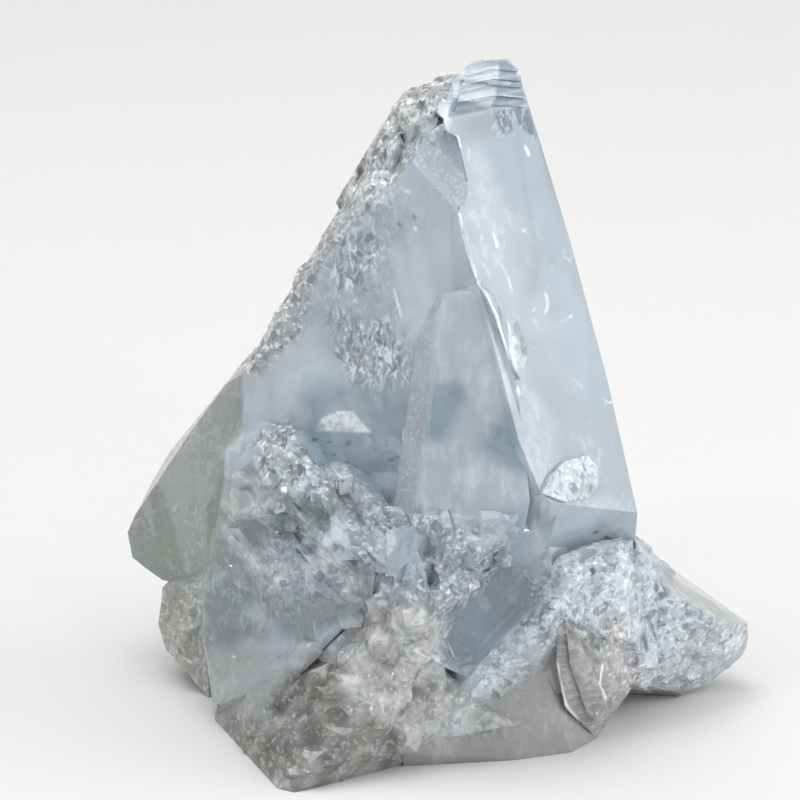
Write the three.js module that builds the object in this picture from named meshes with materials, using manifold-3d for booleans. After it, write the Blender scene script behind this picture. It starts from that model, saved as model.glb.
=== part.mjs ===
// A cluster of pale blue celestite crystals, broken from the lining of a
// geode and standing on its broken base, which is cut flat. The crystals grew
// into each other, so the whole cluster is one solid.
// Millimetres, +Z up, +Y away from the viewer.
import * as THREE from "three";
import { ConvexGeometry } from "three/addons/geometries/ConvexGeometry.js";
import { mergeVertices } from "three/addons/utils/BufferGeometryUtils.js";
import Module from "manifold-3d";

const wasm = await Module();
wasm.setup();

// The front is drawn as it looks to an eye that stands before the cluster and
// a little above it. A point of it is given by how far right of and above the
// aim point it looks, and by how deep it lies behind the foremost corner.
const EYE_ELEVATION = THREE.MathUtils.degToRad(20);
const EYE_DISTANCE = 360;
const AIM = new THREE.Vector3(0, 15, 27.6);

const EYE_RIGHT = new THREE.Vector3(1, 0, 0);
const EYE_UP = new THREE.Vector3(0, Math.sin(EYE_ELEVATION), Math.cos(EYE_ELEVATION));
const TO_EYE = new THREE.Vector3(0, -Math.cos(EYE_ELEVATION), Math.sin(EYE_ELEVATION));
const EYE = AIM.clone().addScaledVector(TO_EYE, EYE_DISTANCE);

// How far into the cluster the lumps and crystals laid on it are rooted.
const ROOT = 0.9;
// How far a crust may lie from the surface it was drawn on, how far its nodes
// stray in their cells, how deep its border is tucked in, and its least height.
const CRUST_REACH = 4;
const CRUST_STRAY = 0.38;
const CRUST_TUCK = 0.3;
const CRUST_LEAST = 0.12;
// The heights of the curved ledges and of the flake on the bright face, and
// the depth of the hollow broken out of it.
const LEDGE = 0.5;
const THIN_LEDGE = 0.25;
const FLAKE = 0.35;
const HOLLOW = 0.4;
const HOLLOW_TAPER = 0.3;
// How deep the broken bite in the bright face's edge goes.
const BITE = 4;
// How much is cleared before the dark window, and filled behind it.
const WINDOW_CLEARANCE = 3;
const WINDOW_FLARE = 2.2;

const at = (x, y, z) => new THREE.Vector3(x, y, z);

function rayTo(right, up) {
  return AIM.clone().addScaledVector(EYE_RIGHT, right).addScaledVector(EYE_UP, up).sub(EYE);
}

// The point that looks `right` and `up` of the aim point, at a given depth.
function seen(right, up, depth) {
  const ray = rayTo(right, up);
  return EYE.clone().addScaledVector(ray, (depth - EYE.y) / ray.y);
}

// The point of the floor that looks `right` and `up` of the aim point.
function foot(right, up) {
  const ray = rayTo(right, up);
  return EYE.clone().addScaledVector(ray, -EYE.z / ray.z);
}

// A flat face through three points, turned to the eye. It gives the points of
// itself that look `right` and `up` of the aim point.
class Face {
  constructor(a, b, c) {
    this.plane = new THREE.Plane().setFromCoplanarPoints(a, b, c);
    if (this.plane.distanceToPoint(EYE) < 0) this.plane.negate();
  }
  at(right, up) {
    const ray = rayTo(right, up);
    const along = -this.plane.distanceToPoint(EYE) / this.plane.normal.dot(ray);
    return EYE.clone().addScaledVector(ray, along);
  }
  outline(pairs) {
    return pairs.map(([right, up]) => this.at(right, up));
  }
}

function solidOf(geometry) {
  geometry.deleteAttribute("normal");
  geometry.deleteAttribute("uv");
  const merged = mergeVertices(geometry, 1e-4);
  return new wasm.Manifold(
    new wasm.Mesh({
      numProp: 3,
      vertProperties: new Float32Array(merged.attributes.position.array),
      triVerts: new Uint32Array(merged.index.array),
    }),
  );
}

// The convex solid around some points: a crystal, a block or a chip.
function block(...points) {
  return solidOf(new ConvexGeometry(points.flat()));
}

// Points moved straight out of a face by some amount, or into it.
function shifted(face, points, amount) {
  return points.map((p) => p.clone().addScaledVector(face.plane.normal, amount));
}

// A thin step that growth left standing on a face, with the outline given.
function step(face, outline, height) {
  const rim = face.outline(outline);
  return block(shifted(face, rim, height), shifted(face, rim, -ROOT));
}

function centreOf(points) {
  return points.reduce((sum, p) => sum.add(p), at(0, 0, 0)).divideScalar(points.length);
}

// A shallow hollow broken out of a face.
function hollow(face, outline, depth) {
  const rim = face.outline(outline);
  const centre = centreOf(rim);
  const bottom = rim.map((p) => p.clone().lerp(centre, HOLLOW_TAPER));
  return block(shifted(face, rim, 2 * ROOT), rim, shifted(face, bottom, -depth));
}

// A repeatable source of random numbers.
function randomFrom(seed) {
  let state = seed >>> 0;
  return (low = 0, high = 1) => {
    state = (Math.imul(state, 1664525) + 1013904223) >>> 0;
    return low + ((high - low) * state) / 4294967296;
  };
}

// A crystal of the celestite habit: a flattened prism with bevelled edges
// that narrows a little and ends in a chisel.
const HABIT = [
  [1, 0.55], [0.6, 1], [-0.6, 1], [-1, 0.55],
  [-1, -0.55], [-0.6, -1], [0.6, -1], [1, -0.55],
];
function crystal({ root, tip, broad, thin, turn = 0, narrowing = 0.8, shoulder = 0.78 }) {
  const axis = tip.clone().sub(root);
  const length = axis.length();
  const stand = new THREE.Quaternion().setFromUnitVectors(at(0, 0, 1), axis.normalize());
  const spin = new THREE.Quaternion().setFromAxisAngle(at(0, 0, 1), turn);
  stand.multiply(spin);
  const ring = (scale, height) =>
    HABIT.map(([x, y]) => at((x * broad * scale) / 2, (y * thin * scale) / 2, height * length));
  const edge = [at(-0.2 * broad, 0, length), at(0.24 * broad, 0, length * 0.98)];
  const points = [...ring(1, 0), ...ring(narrowing, shoulder), ...edge];
  return block(points.map((p) => p.applyQuaternion(stand).add(root)));
}

// A worn grain, and a small stubby crystal, both of about unit half length.
const grainCorners = new THREE.IcosahedronGeometry(1).attributes.position;
const GRAIN = Array.from({ length: grainCorners.count }, (_, i) =>
  at(0, 0, 0).fromBufferAttribute(grainCorners, i),
);
const STUB = [
  [0.62, 0, 0.55], [0.62, 0, -0.55], [-0.62, 0, 0.55], [-0.62, 0, -0.55],
  [0, 0.5, 0.6], [0, 0.5, -0.6], [0, -0.5, 0.6], [0, -0.5, -0.6],
  [0, 0.22, 1], [0, -0.22, 1], [0, 0.22, -1], [0, -0.22, -1],
].map((p) => at(...p));

// One lump or stub, turned its own way.
function lump(shape, centre, size, random) {
  const lean = at(random(-1, 1), random(-1, 1), random(-1, 1)).normalize();
  const turn = new THREE.Quaternion().setFromAxisAngle(lean, random(0, Math.PI));
  const scale = at(size * random(0.85, 1.15), size * random(0.75, 1.05), size);
  const place = new THREE.Matrix4().compose(centre, turn, scale);
  return block(shape.map((p) => p.clone().applyMatrix4(place)));
}

// The mesh the crusts are laid on, and the landing of a point on it.
function groundOf(solid) {
  const ground = new THREE.Mesh(geometryOf(solid), new THREE.MeshStandardMaterial());
  const caster = new THREE.Raycaster();
  return (point, outward) => {
    const start = point.clone().addScaledVector(outward, 2 * CRUST_REACH);
    caster.set(start, outward.clone().negate());
    const hit = caster.intersectObject(ground)[0];
    const near = hit && hit.point.distanceTo(point) < CRUST_REACH;
    return near ? hit.point : point;
  };
}

// The point a share of the way along a line of points.
function along(line, share) {
  const place = share * (line.length - 1);
  const index = Math.min(Math.floor(place), line.length - 2);
  return line[index].clone().lerp(line[index + 1], place - index);
}

// A rough crust between two lines of points, laid on the ground and broken
// into facets: each facet lies at its own height and leans its own way.
function crust(land, { first, second, outward, cells, grain, relief, lean = 0.45, seed }) {
  const random = randomFrom(seed);
  const out = outward.clone().normalize();
  const [rows, columns] = cells;
  const grid = [];
  for (let i = 0; i <= rows; i++) {
    for (let j = 0; j <= columns; j++) {
      const inside = i > 0 && j > 0 && i < rows && j < columns;
      const stray = inside ? CRUST_STRAY : 0;
      const share = (i + random(-stray, stray)) / rows;
      const across = (j + random(-stray, stray)) / columns;
      const spot = along(first, share).lerp(along(second, share), across);
      grid.push({ spot: land(spot, out), inside });
    }
  }
  const facets = grid
    .filter(({ inside }) => inside)
    .filter(() => random() < 1 / grain)
    .map(({ spot }) => ({
      spot,
      height: relief * random(0.15, 1),
      slope: at(random(-1, 1), random(-1, 1), random(-1, 1)).multiplyScalar(lean),
    }));
  const height = ({ spot, inside }) => {
    if (!inside) return -CRUST_TUCK;
    const nearer = (a, b) => (a.spot.distanceTo(spot) < b.spot.distanceTo(spot) ? a : b);
    const own = facets.reduce(nearer);
    return Math.max(own.height + own.slope.dot(spot.clone().sub(own.spot)), CRUST_LEAST);
  };
  const top = grid.map((node) => node.spot.clone().addScaledVector(out, height(node)));
  const bottom = grid.map((node) => node.spot.clone().addScaledVector(out, -2 * ROOT));
  return sheet(top, bottom, rows, columns, out);
}

// The closed solid between two grids of points.
function sheet(top, bottom, rows, columns, out) {
  const index = [];
  const count = top.length;
  const number = (i, j) => i * (columns + 1) + j;
  const pane = (a, b, c, d) => index.push(a, b, c, a, c, d);
  for (let i = 0; i < rows; i++) {
    for (let j = 0; j < columns; j++) {
      const [a, b, c, d] = [number(i, j), number(i + 1, j), number(i + 1, j + 1), number(i, j + 1)];
      pane(a, b, c, d);
      pane(a + count, d + count, c + count, b + count);
    }
  }
  const wall = (a, b) => pane(b, a, a + count, b + count);
  for (let i = 0; i < rows; i++) {
    wall(number(i, 0), number(i + 1, 0));
    wall(number(i + 1, columns), number(i, columns));
  }
  for (let j = 0; j < columns; j++) {
    wall(number(rows, j), number(rows, j + 1));
    wall(number(0, j + 1), number(0, j));
  }
  const down = top[number(rows, 0)].clone().sub(top[0]);
  const over = top[number(0, columns)].clone().sub(top[0]);
  const facing = down.cross(over);
  if (facing.dot(out) < 0) index.reverse();
  return new wasm.Manifold(
    new wasm.Mesh({
      numProp: 3,
      vertProperties: new Float32Array([...top, ...bottom].flatMap((p) => p.toArray())),
      triVerts: new Uint32Array(index),
    }),
  );
}

// The face of the big crystal looks to the front right, and the wide clear
// face of its twin to the front left. They meet in a long slanting edge.
const brightFace = new Face(seen(4.4, 22.8, 14.5), seen(11.6, -7.8, 6), seen(19, -9.4, 11.2));
const clearFace = new Face(
  brightFace.at(4.7, 15),
  brightFace.at(10.4, -4),
  seen(-12, 2.2, 17.5),
);

// The two faces of the big crystal's chisel end.
const CAP_TOP = seen(7.5, 27.2, 19.6);
const capLeft = new Face(brightFace.at(3.5, 22.5), brightFace.at(7.3, 23.2), CAP_TOP);
const capRight = new Face(brightFace.at(7.3, 23.2), brightFace.at(10.2, 23.4), CAP_TOP);

function mainCrystal() {
  const body = block(
    brightFace.outline([
      [3.5, 22.5], [7.3, 23.2], [10.2, 23.4], [11, 20.7], [13.6, 12.8], [16.6, 1.6], [19, -9],
      [18.1, -8.8], [16.8, -7.7], [15.3, -7.8], [12.1, -8.2], [11.3, -7.5], [9.5, -3.2], [4.7, 15],
    ]),
    capLeft.outline([[3.5, 22.5], [3.9, 24.6], [4.5, 26], [5.8, 27.1]]),
    capRight.outline([[8.6, 27.3], [9.4, 26.5], [10.2, 23.4]]),
    CAP_TOP,
    // Behind, two faces meet in an upright edge.
    at(8.2, 24.6, 51.5), at(6, 24.4, 52), at(9.9, 22.4, 49.5), at(18, 21, 12), at(13, 29, 10),
    at(3.2, 27.5, 12), at(2.4, 14.5, 12), at(11, 9, 14), at(19, 15.2, 15), at(5.2, 18.6, 50),
  );
  // The edge is broken away where the matt face begins.
  const edge = brightFace.outline([[3.2, 21.9], [4.6, 21], [5.4, 17.6], [4.7, 15], [3.2, 15.4]]);
  const bite = block(shifted(brightFace, edge, BITE / 2), shifted(brightFace, edge, -BITE));
  // Curved ledges along the broken edge, and a thick flake at its lower end.
  const steps = [
    step(brightFace, [
      [6.2, 9.3], [7, 8.9], [7.8, 7.7], [8.3, 5.6], [8.9, 3.4],
      [9.3, 1.6], [8.7, 2.6], [7.8, 5.1], [6.9, 7.7],
    ], LEDGE),
    step(brightFace, [
      [6.9, 9.1], [7.5, 8.7], [8.2, 7.4], [8.7, 5.6], [8.9, 3.8], [8.5, 4.3], [7.8, 6.7],
    ], THIN_LEDGE),
    step(brightFace, [
      [11.2, -7.5], [11.8, -6.1], [13, -4.9], [14.9, -4.4],
      [15.8, -5.3], [15.9, -6.6], [15, -7.8], [13.1, -8.2],
    ], FLAKE),
  ];
  return [body.subtract(bite), ...steps];
}

// A shell-shaped chip is gone beside the ledges.
function brokenHollow() {
  const outline = [[8.6, 6.7], [9.3, 6.4], [10.1, 4.6], [10.2, 3.5], [9.9, 2.6], [9.2, 2.4]];
  return hollow(brightFace, outline, HOLLOW);
}

// Growth lines across the chisel end: low steps one above the other.
function capSteps() {
  // Where each step starts and ends going up, and how far it stands out.
  const lines = [
    [23.6, 24, 0.14], [24.3, 24.9, 0.24], [25.15, 25.4, 0.12],
    [25.65, 26.2, 0.22], [26.45, 26.7, 0.12],
  ];
  const middle = 7.35;
  const fallLeft = 0.55;
  const fallRight = 0.2;
  return lines.flatMap(([low, high, height]) => {
    const left = 4.1 + 0.28 * (low - 23);
    const right = 10.1 - 0.2 * (low - 23);
    const onLeft = [
      [left, low - fallLeft], [middle, low], [middle + 0.05, high], [left + 0.2, high - fallLeft],
    ];
    const onRight = [
      [middle, low], [right, low - fallRight], [right - 0.1, high - fallRight], [middle + 0.05, high],
    ];
    return [step(capLeft, onLeft, height), step(capRight, onRight, height)];
  });
}

// The twin crystal: the wide clear face, its left flank and its broken top.
function twinCrystal() {
  return block(
    clearFace.outline([
      [4.7, 15], [9.5, -2.4], [10.4, -8], [-0.4, -9.6], [-8, -5.6], [-12.6, -1.6], [-12.2, 2.1],
      [-10.7, 3], [-7.7, 5.6], [-6.2, 11], [-3.5, 14.2], [-0.6, 17.3], [1, 19], [2.6, 16.9],
    ]),
    seen(3, 25.6, 19), seen(1.1, 24.6, 19.6), seen(-0.3, 23, 19.8), seen(-1.5, 21, 20),
    seen(-3.2, 18.1, 20.2), seen(-4.3, 16, 20.2), seen(-7, 10.4, 20.6), seen(-9, 7.8, 20.8),
    seen(-11, 4.8, 21), seen(-12.2, 2.9, 21), seen(3.5, 24.3, 18), at(6.5, 26, 47),
    at(-1, 26.8, 44), at(-9, 28, 26), at(-11.5, 28.5, 10), at(8, 29.5, 10), at(-12, 17, 10),
    at(8, 9.5, 12),
  );
}

// What stands between the chisel end and the twin's broken top: a matt face,
// a dark narrow one beside it and two blunt tips.
const mattFace = new Face(seen(1.9, 21, 14.6), clearFace.at(2.6, 16.9), clearFace.at(4.5, 15.2));
function neck() {
  return [
    block(
      mattFace.outline([
        [1.9, 21], [5.1, 18], [5.4, 17], [5.1, 15.9], [4.5, 15.2], [2.6, 16.9], [1, 19],
      ]),
      at(6.5, 18.5, 44), at(2, 20, 44), at(6, 17.5, 38), at(0, 17, 40),
    ),
    block(
      seen(2.4, 21.6, 15.8), seen(3.8, 22.3, 14.6), seen(4.6, 21, 14.1), seen(5.4, 17.5, 12.9),
      mattFace.at(5.1, 18), mattFace.at(1.9, 21), at(5, 21, 46), at(7, 20, 44),
    ),
    block(
      seen(3, 26.1, 19.2), seen(4.5, 26.1, 19), seen(2.6, 25.4, 18.2), seen(4, 24.5, 16.2),
      seen(3.7, 22.4, 14.6), seen(2.6, 23.2, 15.8), seen(1.7, 24.5, 17.4), at(5.5, 24, 50),
      at(3, 24, 47),
    ),
    block(
      seen(0.9, 25, 19.6), seen(2.6, 25.2, 18.6), seen(3.3, 23.7, 16.4), seen(2.9, 21.9, 15.4),
      seen(1.7, 21, 15.2), seen(-0.1, 21, 16.6), seen(-0.6, 23.5, 19.2), seen(0.2, 23, 17.2),
      at(2, 25, 46), at(-2, 24, 42),
    ),
    // The swollen lumps down the edge from there, lapped over the clear face.
    block(
      seen(-0.1, 21.3, 16), seen(0.7, 19.8, 14.8), seen(0.6, 18.4, 14.2), seen(-0.7, 16.9, 14.6),
      seen(-1.9, 17.6, 16.2), seen(-2.4, 20, 18), seen(-1.2, 21.8, 17.8), seen(-1.8, 20.9, 19.4),
      at(-1, 23, 42),
    ),
    block(
      seen(-1, 17.3, 14.6), seen(-1.3, 16, 14.4), seen(-2.6, 14.5, 14.8), seen(-4, 13.4, 15.8),
      seen(-4.8, 14.4, 17.4), seen(-3.8, 16.8, 18), seen(-2.6, 18.6, 17.8), seen(-4.3, 16.3, 19.6),
      at(-3, 22, 38),
    ),
  ];
}

// The glassy prism that stands in front of the clear face.
const prismFace = new Face(seen(3.2, 8, 10.1), seen(2, -5.6, 7.6), seen(8, 1.6, 8.2));
function middlePrism() {
  return block(
    prismFace.outline([
      [3.4, 7.7], [4.6, 8.6], [5.9, 8.6], [6.7, 7.8], [8.5, 3.5], [9.4, 0.8], [9.9, -3.2],
      [10.4, -8], [9.9, -10.7], [1.9, -10.7], [1.9, -6.4], [2.4, -1.6],
    ]),
    seen(3.2, 8.5, 11.2), seen(4.4, 9.1, 11.4), seen(6, 9.3, 11.2), seen(6.7, 8.6, 10.8),
    seen(2.5, 7.5, 11.4), seen(1.4, 4.9, 11.3), seen(0.9, 1.7, 11), seen(0, -5.1, 10.2),
    seen(-0.6, -9.6, 9.4), at(6.5, 16, 32), at(1, 16, 24), at(5, 14, 12), at(9, 14, 20),
  );
}

// The broad translucent block at the lower left. Its top is broken off in
// ledges, and its lower edge is a blunt lip.
const blockFace = new Face(seen(-15.6, -16, 15.4), seen(-6.3, -20.1, 7.6), seen(-4, -9, 9.4));
function leftBlock() {
  return [
    block(
      blockFace.outline([
        [-15.7, -14.3], [-15.8, -18.4], [-15, -22.5], [-14.6, -24.3], [-12, -23.5], [-6.3, -20.1],
        [-2.2, -15.7], [-1.9, -11.2], [-4, -8], [-8, -8], [-13, -9.3], [-15, -11.4],
      ]),
      seen(-15, -22.5, 16.2), seen(-14.8, -25.4, 15), seen(-11, -24.6, 11.4),
      seen(-14.2, -9.2, 18.6), seen(-15.3, -11.4, 18.6), seen(-15.8, -15.2, 18.8),
      seen(-15.5, -20, 18.6), at(-14.6, 23, 6), at(-14.2, 26.5, 16), at(-11.5, 26.5, 24),
      at(2, 24, 8), at(2, 24, 20),
    ),
    block(
      seen(-12.6, -2.7, 17.6), seen(-11, -2.4, 15.2), seen(-8.6, -2.9, 13.6), seen(-7, -5, 12),
      seen(-6.6, -8, 9.8), seen(-8, -9.2, 9.4), seen(-11, -9.3, 11.6), seen(-13.1, -7.7, 14.6),
      seen(-14, -4.3, 18.2), seen(-14.2, -9, 18), seen(-12.3, -9.6, 13.4), at(-12, 24, 26),
      at(-2, 22, 24), at(-6, 22, 12),
    ),
    block(
      seen(-8, -6.4, 12), seen(-3.8, -6.2, 10.8), seen(-1.8, -8, 9.6), seen(-0.6, -9.8, 8.6),
      seen(-1.2, -12.8, 7.2), seen(-4.8, -12.8, 7.4), seen(-8, -10.6, 8.6), at(-6, 20, 24),
      at(0, 20, 22), at(-3, 20, 12),
    ),
    // The fold between the block and the rock below it.
    block(
      seen(-6.7, -20.6, 7.4), seen(-4.5, -18.6, 7.2), seen(-2.1, -16.5, 7), seen(-2.1, -19.2, 6.2),
      seen(-5.1, -21.4, 6.4), at(-4, 18, 6), at(0, 18, 12),
    ),
    // The blunt lip along the block's lower edge.
    block(
      seen(-15, -22.4, 15.4), seen(-14.7, -25.3, 14.4), seen(-11, -24.5, 10.8),
      seen(-8.2, -22.2, 8), seen(-6.2, -20.2, 6.6), seen(-7, -19.7, 6.8), seen(-11, -22.1, 10.4),
      at(-12, 20, 8), at(-6, 15, 6), at(-6, 14, 9),
    ),
  ];
}

// The grey, grainy rock at the foot of the left block.
function rockFoot() {
  const random = randomFrom(5);
  const body = block(
    foot(-14.8, -25.6), foot(-12.8, -27), foot(-11.5, -28.3), foot(-10.7, -29.7),
    foot(-9.8, -31.1), foot(-8.5, -31.4), foot(-6.7, -31), foot(-3.8, -29.9), foot(0.6, -29.1),
    foot(3.2, -28.4), seen(-14.3, -25.4, 14.2), seen(-11, -24.3, 10.8), seen(-11, -28.8, 4.2),
    seen(-9.3, -29.6, 1.8), seen(-7.2, -25.6, 4.8), seen(-6.5, -28.2, 2.8), seen(-6.2, -21.4, 6.8),
    seen(-2, -18.2, 6.4), seen(-1, -25.8, 3.8), seen(3.4, -20.4, 5.2), seen(4.2, -25.6, 4.6),
    at(-14.6, 20, 0), at(-14, 20, 9), at(4, 18, 0), at(4, 16, 12),
  );
  // The larger grains: where each one looks to be, its depth and its size.
  const grains = [
    [-1.5, -16.5, 7, 1.9], [-1.4, -18.9, 6.2, 1.9], [-3.8, -20.8, 6, 1.7], [-6.1, -22.6, 6, 1.7],
    [-0.2, -23.4, 4.6, 2], [-7.3, -26.9, 4.8, 2.8], [-2.4, -27.5, 3.8, 1.7],
    [2.6, -24.6, 5.2, 2.1], [1.2, -20, 5.6, 1.8], [-3.8, -24.6, 4.8, 1.7], [-9.8, -27.7, 5.6, 2.1],
    [-10.7, -25.6, 8.6, 1.8], [0.3, -26.9, 4.2, 1.8], [-8.6, -29.4, 3.6, 1.8],
    [-5, -29.3, 3.4, 1.5], [-3.8, -17.3, 7.4, 1.5], [-11.5, -27.4, 8.2, 1.5],
    [1.1, -17.3, 6.4, 1.4], [-8.6, -24.3, 7.4, 1.5],
  ];
  return [body,
    ...grains.map(([right, up, depth, size]) => lump(GRAIN, seen(right, up, depth), size, random))];
}

// The dark smooth slab along the front of the base.
function baseSlab() {
  return [
    block(
      foot(0.3, -29.3), foot(2.6, -28.6), foot(6.6, -28.4), foot(9.3, -28.8), foot(11.7, -28),
      foot(13.7, -28.2), foot(15.8, -27), seen(15.4, -26.2, 10.2), seen(12.8, -23.2, 8.6),
      seen(11.4, -20.8, 7.4), seen(6, -22.4, 5.6), seen(2, -25, 4.6), seen(0.2, -28.2, 4.4),
      seen(2.4, -27.8, 5), seen(9.3, -27.6, 7.2), at(16, 22, 0), at(16, 22, 10), at(0.5, 20, 0),
      at(2, 18, 12),
    ),
    // A lens of pale crystal lies against the slab.
    block(
      seen(-2.6, -26.1, 4), seen(4.2, -27, 4.6), seen(9.1, -26, 5.6), seen(6.1, -24.6, 4.6),
      seen(2, -22.9, 4.4), seen(-1.6, -23.7, 3.9), at(2, 11, 4), at(6, 12, 6),
    ),
  ];
}

// The rough mass in the middle, from the prism's foot down to the slab.
const windowFace = new Face(seen(4, -19, 6.4), seen(9.4, -13.6, 8.4), seen(10.4, -16.2, 7.8));
function centreMass() {
  return [
    block(
      seen(-1.9, -8.6, 9.4), seen(-0.8, -11, 8.2), seen(-1, -15, 6.2), seen(-2.4, -18.6, 5.6),
      seen(1.4, -19.8, 4.4), seen(4, -19.4, 4.6), seen(5.8, -22.4, 4.8), seen(10.6, -17.2, 5),
      seen(4.2, -10.2, 6.8), seen(10.4, -14.8, 5.8), seen(6.4, -8.4, 7.6), seen(11.2, -8.6, 8.6),
      seen(16.6, -17, 9.4), seen(12.8, -19.8, 7), at(-2, 22, 4), at(-2, 24, 16), at(16, 22, 4),
      at(14, 24, 16),
    ),
    // The bluish square-cut block under the prism's left corner.
    block(
      seen(-1, -10.4, 7), seen(1.8, -10.1, 6.4), seen(1.9, -13.9, 5.4), seen(-0.9, -14.1, 5.8),
      seen(-1.8, -12.2, 7.2), at(0, 13, 12), at(3, 13, 18),
    ),
    // Slanting laths on the left of the dark window.
    block(
      seen(1, -18.6, 4.4), seen(3.4, -18.4, 4), seen(4.5, -17, 4.4), seen(9.6, -11.7, 6.2),
      seen(8.8, -10.2, 7.2), seen(4.4, -12.5, 5.4), seen(1.6, -15.8, 4.6), at(5, 12, 8),
      at(10, 13, 14),
    ),
    block(
      seen(2.4, -9.6, 7), seen(4.2, -9, 6.8), seen(7.4, -9.8, 6.2), seen(8, -11.8, 5.8),
      seen(5.6, -13.3, 5), seen(2.9, -12.8, 5.4), at(6, 14, 14), at(3, 14, 18),
    ),
    block(
      seen(-0.3, -15.2, 5.6), seen(2.4, -14.7, 5), seen(3.7, -16, 4.6), seen(2.6, -18.9, 4),
      seen(0, -19.2, 4.6), at(2, 12, 8), at(0, 13, 12),
    ),
  ];
}

// The dark window: a smooth face that lies sunken between rough ground. What
// stands before it is cut away to a wider mouth, and what is behind it is filled.
function darkWindow() {
  const pane = windowFace.outline([
    [3.8, -19.2], [4.4, -17.3], [6.4, -15], [8.8, -13], [10.2, -13.4],
    [10.5, -15.2], [9.9, -16.4], [5.8, -20.5], [4.4, -20.4],
  ]);
  const centre = centreOf(pane);
  const mouth = pane.map((p) => centre.clone().lerp(p, WINDOW_FLARE));
  return {
    before: block(pane, shifted(windowFace, mouth, WINDOW_CLEARANCE)),
    behind: block(pane, shifted(windowFace, pane, -WINDOW_CLEARANCE)),
  };
}

// The silvery broken face right of the middle, and the smooth sunken band
// above it, under the big crystal's broken end.
const silverFace = new Face(seen(10.6, -16, 6.4), seen(15.2, -11.8, 8.4), seen(17.6, -16, 10));
function rightShoulder() {
  return [
    block(
      silverFace.outline([[10.3, -15.8], [10.6, -15.2], [12.6, -12.6], [15.1, -11.7], [17.5, -11.3],
        [18.1, -11.6], [18.2, -14.4], [16.2, -17], [10.4, -17.3]]),
      seen(16.8, -21, 9), seen(12.4, -19, 6.6), seen(18.9, -22.6, 12.5), seen(18.6, -11.2, 13.6),
      seen(19.2, -16, 13.4), at(18, 22, 4), at(18.5, 20, 14), at(10, 16, 6),
    ),
    block(
      seen(7.7, -8.6, 8.2), seen(11.6, -8, 7.6), seen(15.2, -8, 9.6), seen(17, -7.8, 11.2),
      seen(18.9, -9.6, 13.2), seen(18.1, -10.7, 12.8), seen(15, -11.6, 10.4), seen(10.6, -15.4, 8),
      seen(8, -12.8, 7.6), at(18, 21, 14), at(9, 18, 10),
    ),
    // The broken ground under the dark window and beside the wedge.
    block(
      seen(3.8, -19.4, 5.4), seen(5.9, -20.4, 5.4), seen(8, -18.6, 6.2), seen(11.2, -18.1, 7),
      seen(13, -18.9, 7.6), seen(13.3, -23.5, 8.2), seen(9.6, -23.2, 6.6), seen(5.3, -22.7, 4.9),
      at(6, 16, 4), at(16, 16, 8),
    ),
    // Chips that bridge the gap to the lobe.
    block(
      seen(18, -11.6, 12.2), seen(19.4, -12.2, 12.8), seen(20.7, -13.8, 13.8),
      seen(21.1, -15.4, 14.2), seen(19.8, -16.2, 13), seen(18, -15.4, 11.9), at(17, 20, 14),
      at(18, 19, 10),
    ),
    block(
      seen(17.8, -14.8, 11.4), seen(19.4, -15.5, 12.3), seen(20.7, -17.8, 13.6),
      seen(19.6, -19, 12.8), seen(18, -18.3, 11.7), at(17, 20, 8), at(17, 19, 4),
    ),
    block(
      seen(17.9, -18, 11.6), seen(19.4, -19, 12.6), seen(20.7, -21.7, 14.2), seen(19.7, -23.1, 14),
      seen(18.3, -22.7, 12.3), seen(17.5, -21, 11.2), at(17, 18, 5), at(17, 19, 2),
    ),
    // A splintered edge under the band.
    block(
      seen(12.5, -12.5, 8.2), seen(15.2, -11.4, 9.4), seen(17.8, -11, 11.2), seen(17.9, -11.7, 11),
      seen(15.2, -12.2, 8.6), at(16, 17, 12), at(12, 15, 12),
    ),
  ];
}

// The leaning wedge at the front right, veined with brown.
function veinedWedge() {
  return [
    block(
      seen(12.6, -18.4, 6.6), seen(14.1, -18.6, 7), seen(16.2, -20.7, 8), seen(18.8, -22.7, 11.6),
      seen(16.9, -24.5, 10), seen(16.1, -25.5, 9.8), seen(12.5, -20.8, 6.4),
      seen(13.2, -24.6, 7.6), seen(15.3, -26.6, 9.6), foot(15.7, -27), at(18, 17, 0),
      at(17, 18, 8),
    ),
    block(
      seen(13.3, -18.6, 6.2), seen(14.2, -18.9, 6.4), seen(16.2, -23.4, 8.2), seen(16, -25.9, 9),
      seen(15, -25.1, 8.2), seen(13.6, -21.1, 6.4), at(16.5, 14, 4), at(15.5, 13, 7),
    ),
    block(
      seen(16.2, -19.4, 9), seen(18.2, -19.8, 11.2), seen(18.7, -22.4, 12), seen(17, -21.8, 9.2),
      seen(15.8, -20.5, 8.6), at(17, 17, 8), at(17, 17, 4),
    ),
  ];
}

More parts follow.
